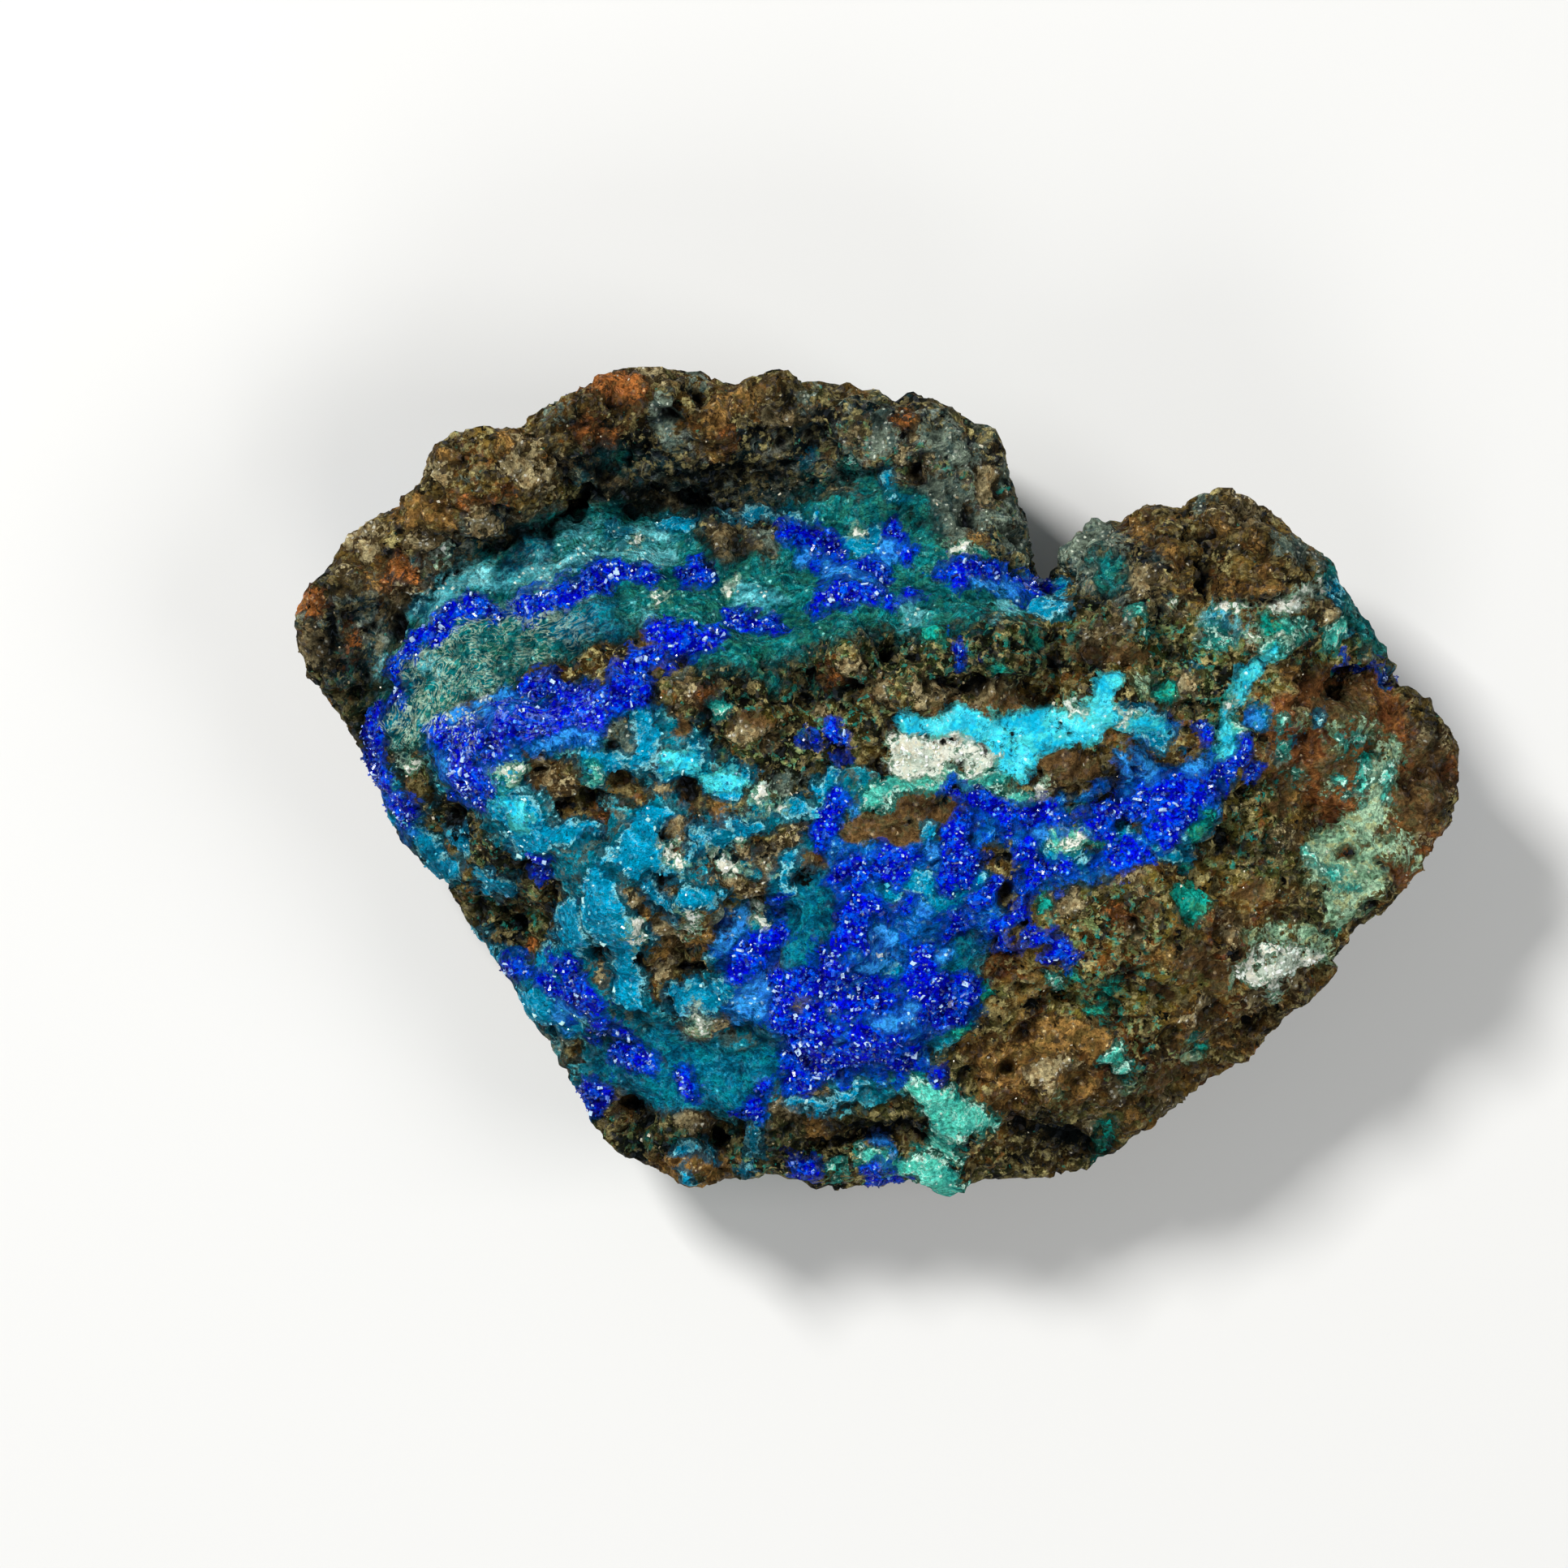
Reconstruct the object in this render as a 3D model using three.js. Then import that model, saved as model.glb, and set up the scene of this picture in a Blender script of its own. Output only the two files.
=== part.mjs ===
// A hand specimen of chrysocolla and malachite with azurite on iron-stained rock.
// It grew as one piece, so it is one closed solid. Millimetres, +Z up: +X runs along the
// longest side, +Y towards the brown crown, and the stone lies on a flat broken face at Z 0.
import * as THREE from 'three';
import { ImprovedNoise } from 'three/addons/math/ImprovedNoise.js';

// Overall size
const LENGTH = 61.0;
const WIDTH = 43.6;
const HEIGHT = 22.4;

// Grid step of the surface, and the rounding where top, wall and underside meet
const STEP = 1.31;
const EDGE_ROUNDING = 1.1;

// How often a vertex is moved onto the surface, and how far it may move, in grid steps
const SETTLE_ROUNDS = 3;
const SETTLE_LIMIT = 0.45;

// How far the wall leans in for each millimetre above or below its widest level
const LEAN_ABOVE = 0.3;
const LEAN_BELOW = 0.34;

// Spread of each height in HEIGHTS over the ground around it
const HEIGHT_SPREAD = 2.2;

// Broken roughness all over: size of the swells and how far they stand out. The ridged
// ones have sharp crests, RIDGE_CREST above the surface and falling by RIDGE_FALL. Near
// the outline at the widest level the stone is left nearly as drawn
const ROUGHNESS = [
  { size: 9, rise: 1.3, ridged: false },
  { size: 5.2, rise: 1.5, ridged: true },
  { size: 3.4, rise: 0.75, ridged: true },
];
const ROUGHNESS_ORIGIN = [11.3, 5.7, 2.1];
const RIDGE_CREST = 0.4;
const RIDGE_FALL = 1.6;
const CALM_ROUGHNESS = 0.12;
const CALM_REACH = 3.2;

// Plan outline at the widest level, clockwise from the left tip
const LEFT_LOBE_EDGE = [
  [-30.5, 9.2], [-29.9, 10.3], [-28.2, 11.8], [-27.5, 13.1], [-25.2, 14.4], [-23.5, 15.8],
  [-23.7, 16.6], [-22.4, 18.2], [-20.8, 18.6], [-18.4, 18.4],
];
const CROWN_EDGE = [
  [-17.8, 20.0], [-15.6, 20.9], [-11.8, 21.9], [-9.0, 21.6], [-7.5, 20.8], [-5.6, 21.7],
  [-2.5, 21.1], [0.2, 20.5], [3.3, 20.1], [4.7, 18.9], [6.1, 18.0], [7.1, 15.7],
  [8.0, 13.2], [8.1, 11.0],
];
const NOTCH_EDGE = [[8.8, 10.7], [9.7, 11.4], [9.9, 12.7]];
const RIGHT_LOBE_EDGE = [
  [11.6, 13.9], [12.9, 13.7], [14.9, 14.7], [16.4, 14.2], [17.2, 15.5], [19.4, 14.7],
  [21.2, 13.4], [23.4, 12.1], [24.6, 10.2], [26.4, 7.6], [27.1, 5.9],
];
const RIGHT_END_EDGE = [
  [28.4, 4.2], [29.6, 3.0], [30.5, 1.0], [30.2, -0.9], [28.9, -3.0], [27.6, -5.3],
  [26.2, -7.1], [24.8, -7.6], [23.4, -10.4],
];
const LOWER_RIGHT_EDGE = [
  [21.9, -11.7], [20.1, -13.8], [17.9, -15.3], [15.2, -17.3], [13.2, -18.6], [11.6, -20.0],
  [8.6, -20.5], [5.4, -20.8],
];
const LOWER_SHELF_EDGE = [
  [3.9, -21.8], [1.8, -21.1], [-0.8, -21.0], [-2.4, -21.4], [-5.2, -20.4], [-7.4, -20.6],
  [-9.6, -21.2], [-11.6, -20.0], [-13.8, -19.3], [-15.3, -17.9], [-15.8, -15.5],
];
const LEFT_FLANK_EDGE = [
  [-16.7, -13.6], [-18.3, -11.8], [-19.6, -9.5], [-21.7, -6.9], [-22.9, -4.7], [-24.7, -2.9],
  [-26.1, -0.5], [-26.9, 2.2], [-28.9, 4.5], [-30.2, 6.9],
];
const OUTLINE = [
  ...LEFT_LOBE_EDGE, ...CROWN_EDGE, ...NOTCH_EDGE, ...RIGHT_LOBE_EDGE, ...RIGHT_END_EDGE,
  ...LOWER_RIGHT_EDGE, ...LOWER_SHELF_EDGE, ...LEFT_FLANK_EDGE,
];

// Heights of the upper side, [x, y, z], form by form
const HEIGHTS = [
  // granular brown block at the upper left
  [-29, 8, 12], [-27.5, 6, 12.5], [-26.5, 10.5, 14.2], [-23.5, 13.5, 15.8], [-20.5, 16, 16.2],
  [-17.5, 16.5, 14.8],
  // banded shelf, which dips towards that block and the crown
  [-23.5, 8.5, 12.6], [-19.5, 11.2, 12.2], [-15, 12.8, 11.8], [-11, 13, 12.2],
  [-24.8, 4.5, 14.6], [-21, 7, 15.4], [-16, 8, 16.6], [-11.5, 10, 15.6], [-24, 1, 15],
  // upper azurite bench and the crest that it climbs to
  [-20, 2.8, 19.2], [-15.5, 3.8, 20.4], [-12, 5.5, 20.8], [-10, 7.6, 19],
  // middle of the shelf, below the crown
  [-8, 10.8, 14.8], [-4, 12.4, 14.2], [-4, 9.2, 16.8], [1, 11, 15.4], [1, 14, 14.4],
  [5, 10.8, 15.8],
  // porous rock ridge across the middle
  [-8, 4.5, 21], [-4, 5.5, 21.4], [0.5, 6.6, 21.6], [4, 5.5, 22], [8, 6.2, 22.2],
  [12, 6.5, 21.6], [15.5, 6, 20.2], [10, 9, 19], [5.5, 8.4, 19.4],
  // hollow of the pale vein, and the smooth brown lenses beside it
  [2.5, 1.4, 19], [6, 2.4, 18.8], [9.5, 2.9, 18.6], [13.3, 3.4, 18.8], [9.6, 0.5, 20.4],
  [1.5, -1.8, 20.4], [-2.5, 1.5, 20],
  // azurite slope
  [-2, -3.5, 19.4], [4.5, -3.8, 19.4], [8.2, -3.6, 18.8], [-1, -7.5, 19], [4, -8, 18.8],
  [-1, -11.5, 18], [3.5, -12, 17.6], [-5.5, -9, 18], [-4.5, -13.5, 16.4],
  // spotted rock to the left of it
  [-20, -0.8, 18.6], [-16.5, -2.4, 19.6], [-12, -1.5, 20], [-8, -0.8, 20.2],
  [-12.5, -6.5, 19], [-8.5, -5.5, 19.4], [-9.5, -9.8, 17.2], [-13, -10.5, 15.8],
  // smooth teal hollow
  [-11, -14.6, 13.6], [-7.6, -15.4, 13.8],
  // steep left flank and its lower ledge
  [-23.8, -1.6, 13.6], [-21.5, -4.4, 13.2], [-19.4, -7.6, 12.4], [-17.6, -10.8, 11.4],
  [-15.6, -13.2, 11], [-14.6, -16.4, 10.4],
  // lower edge and the shelf under it
  [-11.5, -18.2, 11.4], [-8, -18, 12.8], [-4, -17.2, 14], [0.5, -16.6, 15.6], [4.2, -17, 15.8],
  [-9.6, -20.3, 10.2], [-4.5, -20, 10], [0, -20.2, 10.2], [3.6, -20.4, 11.2], [8.4, -19.6, 9.8],
  // lower right slope
  [8, -12.5, 17], [8.5, -16, 15], [12, -9.5, 17.8], [13, -14, 15.2], [12.6, -17.8, 11],
  [17, -10.5, 16.2], [17.4, -14, 12.2], [21, -11, 12.4], [21.6, -8.6, 14.6],
  // right shoulder and right end
  [12.5, -2.4, 18.8], [14.5, -6, 18.4], [18, -2.4, 18.2], [19, -6.2, 17.4], [22.6, -4.6, 16.2],
  [25.6, -4.2, 13.4], [23, 0.5, 17], [26.8, 0.4, 14.8], [29, -0.8, 12.2], [25.5, 3.8, 15.4],
  [28.6, 2.6, 12.4], [18.2, 1.4, 18.2], [20.5, 4.2, 18.6],
  // upper right lobe
  [10.6, 11.6, 13.6], [13, 12.2, 15.6], [15.6, 10.6, 18], [18.6, 9.6, 18.6], [17.4, 14, 15.4],
  [21, 11.6, 16], [22.6, 8.4, 17.2], [24.6, 9, 14.2], [26, 6, 14.2],
  // crown, lower than the shelf behind it and falling away to the back
  [-16, 18.2, 13.2], [-12.5, 19.2, 14.2], [-9.2, 18.4, 15], [-9, 20.8, 12.2],
  [-5, 19.6, 14.4], [-0.8, 18.6, 15.2], [3, 18.2, 14.6], [5.6, 16, 14.2], [3, 14.6, 15.6],
  [6.3, 12.8, 14.8], [-13.6, 16.2, 12.8], [-7.6, 16.4, 12.6], [-3, 16.8, 13.2],
];

// Seams and gullies: a line on the plan, with its half width and its depth
const GULLIES = [
  {
    // seam between the brown block and the shelf
    line: [[-25.6, 7.4], [-24.6, 9.8], [-21.5, 11.9], [-18, 13.5], [-15.8, 14.8]],
    reach: 1.3,
    depth: 1.5,
  },
  {
    // gully below the crown
    line: [[-15.8, 14.8], [-12.5, 14.8], [-9.3, 15.2], [-6.5, 15.4], [-3, 15.7]],
    reach: 1.7,
    depth: 2.2,
  },
  {
    // cleft between the block and the crown
    line: [[-18.6, 18.6], [-17, 17], [-15.9, 15]],
    reach: 1.2,
    depth: 1.6,
  },
  {
    // dark hollow inside the crown
    line: [[-8.5, 16.9], [-5.5, 17.2], [-2.6, 17.2]],
    reach: 1.3,
    depth: 1.2,
  },
  {
    // break behind the pale vein
    line: [[12.6, 6.2], [14.2, 5.4], [15.8, 4.2], [17.2, 3.2]],
    reach: 1.1,
    depth: 1.0,
  },
  {
    // crevice over the lower shelf
    line: [[-3.2, -18.9], [0, -18.5], [2.8, -18.8]],
    reach: 1.2,
    depth: 1.8,
  },
  {
    // undercut at the lower right rim
    line: [[6.6, -17.8], [8.6, -18.6], [10.8, -19.2]],
    reach: 1.3,
    depth: 2.0,
  },
  {
    // cleft of the upper right lobe
    line: [[17.2, 12.4], [17.2, 9.4], [16.2, 7.6]],
    reach: 1.1,
    depth: 1.7,
  },
  {
    // groove round the right end
    line: [[25.2, 2.6], [26.6, 1.8], [28.4, 1.4], [30.2, 1.2]],
    reach: 1.1,
    depth: 1.1,
  },
  {
    // seam under the upper azurite bench
    line: [[-22.6, 2.2], [-20.4, 4.4], [-17.4, 4.6], [-14.4, 6.4]],
    reach: 1.0,
    depth: 0.8,
  },
  {
    // foot of the azurite slope
    line: [[-5.6, -9.8], [-6.6, -12], [-8.6, -12.6], [-12, -12.4]],
    reach: 1.2,
    depth: 1.1,
  },
];

// Ledges: the ground to the right of the line, walked from its first point, drops by so much
// within the run to either side, and comes back over the fade
const LEDGE_RUN = 0.7;
const LEDGES = [
  {
    // break of the left flank
    line: [[-23, 2], [-22.4, -1.4], [-19.4, -5.8], [-16.4, -9.4], [-14.2, -13.4]],
    drop: 1.6,
    fade: 3.2,
  },
  {
    // lip over the teal hollow
    line: [[-13.8, -12.6], [-8.6, -13.2], [-5.2, -13.4]],
    drop: 1.2,
    fade: 2.6,
  },
  {
    // shelf bench under the ridge
    line: [[-9.4, 8.4], [-6.4, 6.8], [-1.5, 8.2], [3.5, 8.6], [8.6, 9.4]],
    drop: -1.2,
    fade: 2.4,
  },
  {
    // rim of the lower right slope
    line: [[9.4, -17.2], [13.4, -16.2], [17.2, -13], [21, -10.2]],
    drop: 1.3,
    fade: 3,
  },
];

// Lumps: [x, y, radius, rise]
const LUMPS = [
  // crown and the pebbles in its gully
  [-14.6, 18.6, 2.6, 1.6], [-11.2, 20, 2.2, 1.1], [-8.8, 18.4, 2.6, 1.5], [-14, 15.8, 2, 1.3],
  [-5.2, 20, 2.4, 1.2], [-0.4, 19, 2.8, 1.4], [2.8, 13.4, 3, 1.2], [6.1, 14.8, 2.6, 1.2],
  [3.6, 17.8, 2.4, 1.0],
  // granular block
  [-21.6, 16.8, 2.8, 1.4], [-18.2, 16.6, 2.4, 1.3], [-25.6, 12.6, 2.6, 1.2],
  [-28.4, 9.4, 2.4, 1.2], [-24.2, 15, 2.2, 0.9], [-27.8, 6, 2.2, 0.9],
  // shelf and benches
  [-21, 6.6, 3, 0.9], [-15.6, 10.4, 3, 0.8], [-18.4, 2.6, 2.8, 1.0], [-13.2, 4.8, 2.6, 0.9],
  [-9.6, 7.8, 2.2, 0.9], [4.4, 10.8, 2.8, 0.8], [-1.6, 9.9, 2.4, 0.8],
  // porous ridge
  [-2, 6.6, 2.4, 1.4], [6.2, 7, 2.6, 1.3], [13.4, 8.6, 2.8, 1.4], [-9.2, 4.2, 2.4, 1.1],
  [1.9, 4.6, 2, 0.9], [10.6, 4.6, 2, 0.8], [-13.4, 1.8, 2.6, 1.2], [-6.2, 2.4, 2.2, 0.9],
  // brown lenses, azurite knots and spotted rock
  [9.4, 0.8, 2.6, 1.3], [1.6, -2, 3, 1.1], [-1.4, -8, 2.8, 1.0], [4.6, -3.6, 2.4, 0.9],
  [1, -12.4, 3, 0.9], [15.4, -1.2, 2.6, 1.0], [-12, -2.8, 2.6, 1.1], [-18, -1.8, 2.8, 1.1],
  [-13.6, -7, 2.6, 1.0], [-9.2, -6.2, 2.4, 1.0], [-15.6, -11, 2.4, 1.4], [-9.4, -12, 2.4, 0.9],
  // lower edge and right side
  [-9.6, -20, 2.2, 1.8], [4, -17.4, 2.6, 1.2], [8.8, -15.8, 2.8, 1.2], [14.4, -6.8, 3, 1.2],
  [20.4, -9.6, 2.6, 1.1], [12.6, -14.4, 2.6, 1.0], [28.6, -1, 2.4, 1.1], [24.8, 3.6, 2.6, 1.1],
  [19.6, -3.2, 2.6, 0.9], [26.4, -4.4, 2.4, 0.9], [20.4, 7.8, 2.4, 1.1], [12.4, 12.2, 2.6, 1.2],
  [17.2, 14, 2.2, 1.2], [20.8, 11.4, 2.6, 1.0],
];

// Pits: [x, y, radius, depth]
const PITS = [
  [-3.3, 4.8, 2.1, 2.2], [3.9, 4.9, 2.1, 2.3], [0.9, 7.6, 2, 1.9], [8.3, 4.9, 2.1, 2.2],
  [10.1, 6.9, 2.2, 2.2], [15.2, 6.9, 2.2, 2.4], [-11.2, 6.1, 2, 1.4], [-10.3, -9, 2.4, 2.2],
  [-16.3, -5.5, 2.5, 1.9], [-8, -3, 2, 1.5], [-14.6, -8.8, 2, 1.5], [-18.6, -7.2, 2.4, 2.0],
  [7.4, -13.2, 2.1, 1.8], [9.8, -11, 2.3, 1.8], [23.8, 5.3, 2.1, 2.4], [18.1, -2.9, 2.1, 2.0],
  [-7.9, -18.7, 2.1, 2.4], [-12.6, -17.2, 2, 1.9], [22.6, -1.6, 2.4, 1.2],
  [-13.2, 17.2, 2, 2.0], [12.3, -12, 2.2, 1.2], [16.8, -4.8, 2.2, 1.0], [-22.3, -3, 2.2, 1.3],
];

// Broken faces of the underside: compass angle and slope in degrees, and how far out from
// the middle the face leaves the level that the stone rests on
const BROKEN_FACES = [
  { toward: 6, slope: 20, reach: 12 },
  { toward: 44, slope: 26, reach: 10 },
  { toward: 82, slope: 25, reach: 7.5 },
  { toward: 119, slope: 21, reach: 9.5 },
  { toward: 157, slope: 19, reach: 12 },
  { toward: 203, slope: 28, reach: 13 },
  { toward: 236, slope: 31, reach: 10 },
  { toward: 271, slope: 24, reach: 8.5 },
  { toward: 313, slope: 29, reach: 11.5 },
  { toward: 346, slope: 23, reach: 14 },
];

const STONE = new THREE.MeshStandardMaterial({ color: 0x1f6c86, roughness: 0.82, metalness: 0 });

const noise = new ImprovedNoise();

// 0 below the first edge, 1 above the second, and smooth between them
function smoothstep(low, high, value) {
  const t = THREE.MathUtils.clamp((value - low) / (high - low), 0, 1);
  return t * t * (3 - 2 * t);
}

// The smaller of two values, rounded over where they are alike
function smoothMin(a, b, rounding) {
  const t = Math.max(rounding - Math.abs(a - b), 0) / rounding;
  return Math.min(a, b) - t * t * rounding * 0.25;
}

// Distance from (x, y) to one straight stretch, and the side of it that the point is on
function stretchDistance(x, y, [ax, ay], [bx, by]) {
  const dx = bx - ax;
  const dy = by - ay;
  const along = ((x - ax) * dx + (y - ay) * dy) / (dx * dx + dy * dy);
  const t = THREE.MathUtils.clamp(along, 0, 1);
  const distance = Math.hypot(x - ax - dx * t, y - ay - dy * t);
  const onRight = (x - ax) * dy - (y - ay) * dx > 0;
  return { distance, onRight };
}

// Nearest stretch of an open line
function lineDistance(x, y, line) {
  let nearest = stretchDistance(x, y, line[0], line[1]);
  for (let i = 1; i < line.length - 1; i++) {
    const here = stretchDistance(x, y, line[i], line[i + 1]);
    if (here.distance < nearest.distance) nearest = here;
  }
  return nearest;
}

// Distance to the plan outline, above zero inside it
function insideOutline(x, y) {
  let distance = Infinity;
  let inside = false;
  for (let i = 0; i < OUTLINE.length; i++) {
    const [ax, ay] = OUTLINE[i];
    const [bx, by] = OUTLINE[(i + 1) % OUTLINE.length];
    distance = Math.min(distance, stretchDistance(x, y, [ax, ay], [bx, by]).distance);
    const crosses = ay > y !== by > y && x < ((bx - ax) * (y - ay)) / (by - ay) + ax;
    if (crosses) inside = !inside;
  }
  return inside ? distance : -distance;
}

// Height of the ground between the heights in HEIGHTS, nearer ones counting more
function groundHeight(x, y) {
  let sum = 0;
  let weights = 0;
  for (const [px, py, pz] of HEIGHTS) {
    const squared = (x - px) ** 2 + (y - py) ** 2;
    const weight = Math.exp(-squared / (2 * HEIGHT_SPREAD ** 2)) + 1e-9 / (1 + squared);
    sum += weight * pz;
    weights += weight;
  }
  return sum / weights;
}

// Upper side: the ground with its gullies, ledges, lumps and pits
function upperSide(x, y) {
  let z = groundHeight(x, y);
  for (const { line, reach, depth } of GULLIES) {
    z -= depth * (1 - smoothstep(0, reach, lineDistance(x, y, line).distance));
  }
  for (const { line, drop, fade } of LEDGES) {
    const { distance, onRight } = lineDistance(x, y, line);
    const side = onRight ? distance : -distance;
    z -= drop * smoothstep(-LEDGE_RUN, LEDGE_RUN, side) * Math.exp(-Math.max(side, 0) / fade);
  }
  for (const [px, py, radius, rise] of LUMPS) {
    z += rise * (1 - smoothstep(0, radius, Math.hypot(x - px, y - py)));
  }
  for (const [px, py, radius, depth] of PITS) {
    z -= depth * (1 - smoothstep(0, radius, Math.hypot(x - px, y - py)));
  }
  return z;
}

// Underside: the highest of the broken faces
function underside(x, y) {
  let z = -Infinity;
  for (const { toward, slope, reach } of BROKEN_FACES) {
    const angle = THREE.MathUtils.degToRad(toward);
    const out = x * Math.cos(angle) + y * Math.sin(angle) - reach;
    z = Math.max(z, out * Math.tan(THREE.MathUtils.degToRad(slope)));
  }
  return z;
}

// What a column of the stone needs, whatever the height
function column(x, y) {
  const top = upperSide(x, y);
  const bottom = underside(x, y);
  return { inside: insideOutline(x, y), top, bottom, widest: (top + Math.max(bottom, 0)) / 2 };
}

// How far the broken roughness stands out at a point
function roughness(x, y, z) {
  const [ox, oy, oz] = ROUGHNESS_ORIGIN;
  let sum = 0;
  for (const { size, rise, ridged } of ROUGHNESS) {
    const swell = noise.noise(x / size + ox, y / size + oy, z / size + oz);
    sum += rise * (ridged ? RIDGE_CREST - RIDGE_FALL * Math.abs(swell) : swell);
  }
  return sum;
}

// Above zero inside the stone, about the distance to its surface
function depthInStone(x, y, z, { inside, top, bottom, widest }) {
  const lean = z > widest ? LEAN_ABOVE : LEAN_BELOW;
  const wall = inside - lean * Math.abs(z - widest);
  const body = smoothMin(smoothMin(wall, top - z, EDGE_ROUNDING), z - bottom, EDGE_ROUNDING);
  const away = Math.max(Math.abs(z - widest), Math.abs(inside)) / CALM_REACH;
  const share = CALM_ROUGHNESS + (1 - CALM_ROUGHNESS) * smoothstep(0, 1, away);
  return Math.min(body + share * roughness(x, y, z), z);
}

// Corners of a grid cell and the twelve edges between them
const CORNERS = [];
for (let i = 0; i < 8; i++) CORNERS.push([i & 1, (i >> 1) & 1, (i >> 2) & 1]);
const EDGES = [];
for (let a = 0; a < 8; a++) {
  for (const bit of [1, 2, 4]) {
    if (!(a & bit)) EDGES.push([a, a | bit]);
  }
}

const AXES = [[1, 0, 0], [0, 1, 0], [0, 0, 1]];

// Depth given to a grid point that is filled to close a pinch
const PINCH_FILL = 0.25;

// Grid around the stone. The level Z 0 falls between two grid layers
function makeGrid() {
  const margin = 2.5;
  const min = [-LENGTH / 2 - margin, -WIDTH / 2 - margin, -1.5 * STEP];
  const size = [LENGTH + 2 * margin, WIDTH + 2 * margin, HEIGHT + 2.5 * STEP];
  const count = size.map((length) => Math.ceil(length / STEP) + 1);
  const values = new Float64Array(count[0] * count[1] * count[2]);
  const index = (i, j, k) => (k * count[1] + j) * count[0] + i;
  const point = (i, j, k) => [min[0] + i * STEP, min[1] + j * STEP, min[2] + k * STEP];
  for (let i = 0; i < count[0]; i++) {
    for (let j = 0; j < count[1]; j++) {
      const [x, y] = point(i, j, 0);
      const here = column(x, y);
      for (let k = 0; k < count[2]; k++) {
        values[index(i, j, k)] = depthInStone(x, y, point(i, j, k)[2], here);
      }
    }
  }
  return { count, values, index, point };
}

// Where the stone would touch itself only across the diagonal of a grid face, the fainter
// of the two gaps is filled, so that the surface stays one clean sheet
function closePinches({ count, values, index }) {
  const [ni, nj, nk] = count;
  let filled = 0;
  for (let k = 0; k < nk - 1; k++) {
    for (let j = 0; j < nj - 1; j++) {
      for (let i = 0; i < ni - 1; i++) {
        for (const [u, v] of [[AXES[0], AXES[1]], [AXES[1], AXES[2]], [AXES[2], AXES[0]]]) {
          const face = [[0, 0], [1, 0], [1, 1], [0, 1]].map(([a, b]) => index(
            i + a * u[0] + b * v[0], j + a * u[1] + b * v[1], k + a * u[2] + b * v[2]));
          const solid = face.map((corner) => values[corner] > 0);
          if (solid[0] !== solid[2] || solid[1] !== solid[3] || solid[0] === solid[1]) continue;
          const [a, b] = solid[0] ? [face[1], face[3]] : [face[0], face[2]];
          values[values[a] > values[b] ? a : b] = PINCH_FILL;
          filled++;
        }
      }
    }
  }
  return filled;
}

// Middle of the places where the surface crosses the edges of one cell, or null
function cellVertex(grid, i, j, k) {
  const depths = CORNERS.map(([a, b, c]) => grid.values[grid.index(i + a, j + b, k + c)]);
  const sum = [0, 0, 0];
  let crossings = 0;
  for (const [a, b] of EDGES) {
    if (depths[a] > 0 === depths[b] > 0) continue;
    const t = depths[a] / (depths[a] - depths[b]);
    for (let axis = 0; axis < 3; axis++) {
      sum[axis] += CORNERS[a][axis] + t * (CORNERS[b][axis] - CORNERS[a][axis]);
    }
    crossings++;
  }
  if (crossings === 0) return null;
  const [x, y, z] = grid.point(i, j, k);
  return [x + (sum[0] / crossings) * STEP, y + (sum[1] / crossings) * STEP,
    z + (sum[2] / crossings) * STEP];
}

// Moves a vertex from the middle of its cell onto the surface itself
function settle([x, y, z]) {
  const limit = SETTLE_LIMIT * STEP;
  const span = 0.05;
  const depthAt = (px, py, pz) => depthInStone(px, py, pz, column(px, py));
  const moved = [x, y, z];
  for (let round = 0; round < SETTLE_ROUNDS; round++) {
    const depth = depthAt(...moved);
    const slope = AXES.map(([dx, dy, dz]) => (
      depthAt(moved[0] + dx * span, moved[1] + dy * span, moved[2] + dz * span) - depth) / span);
    const squared = Math.max(slope[0] ** 2 + slope[1] ** 2 + slope[2] ** 2, 0.25);
    for (let axis = 0; axis < 3; axis++) {
      const start = [x, y, z][axis];
      const next = moved[axis] - (depth * slope[axis]) / squared;
      moved[axis] = THREE.MathUtils.clamp(next, start - limit, start + limit);
    }
  }
  return moved;
}

// One vertex in each cell that the surface crosses, and two triangles around each grid
// edge that it crosses
function makeSurface(grid) {
  const positions = [];
  const vertexOf = new Map();
  const [ni, nj, nk] = grid.count;
  for (let k = 0; k < nk - 1; k++) {
    for (let j = 0; j < nj - 1; j++) {
      for (let i = 0; i < ni - 1; i++) {
        const vertex = cellVertex(grid, i, j, k);
        if (vertex === null) continue;
        vertexOf.set(grid.index(i, j, k), positions.length / 3);
        positions.push(...settle(vertex));
      }
    }
  }
  const triangles = [];
  for (let k = 1; k < nk - 1; k++) {
    for (let j = 1; j < nj - 1; j++) {
      for (let i = 1; i < ni - 1; i++) {
        const here = grid.values[grid.index(i, j, k)] > 0;
        for (let axis = 0; axis < 3; axis++) {
          const [di, dj, dk] = AXES[axis];
          const next = grid.values[grid.index(i + di, j + dj, k + dk)] > 0;
          if (here === next) continue;
          const u = AXES[(axis + 1) % 3];
          const v = AXES[(axis + 2) % 3];
          const ring = [[1, 1], [0, 1], [0, 0], [1, 0]].map(([a, b]) => vertexOf.get(
            grid.index(i - a * u[0] - b * v[0], j - a * u[1] - b * v[1], k - a * u[2] - b * v[2])));
          if (!here) ring.reverse();
          triangles.push(...quadTriangles(positions, ring));
        }
      }
    }
  }
  return { positions, triangles };
}

// Two triangles of a quad, split along its shorter diagonal
function quadTriangles(positions, [a, b, c, d]) {
  const span = (p, q) => Math.hypot(positions[3 * p] - positions[3 * q],
    positions[3 * p + 1] - positions[3 * q + 1], positions[3 * p + 2] - positions[3 * q + 2]);
  if (span(a, c) < span(b, d)) return [a, b, c, a, c, d];
  return [a, b, d, b, c, d];
}

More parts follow.
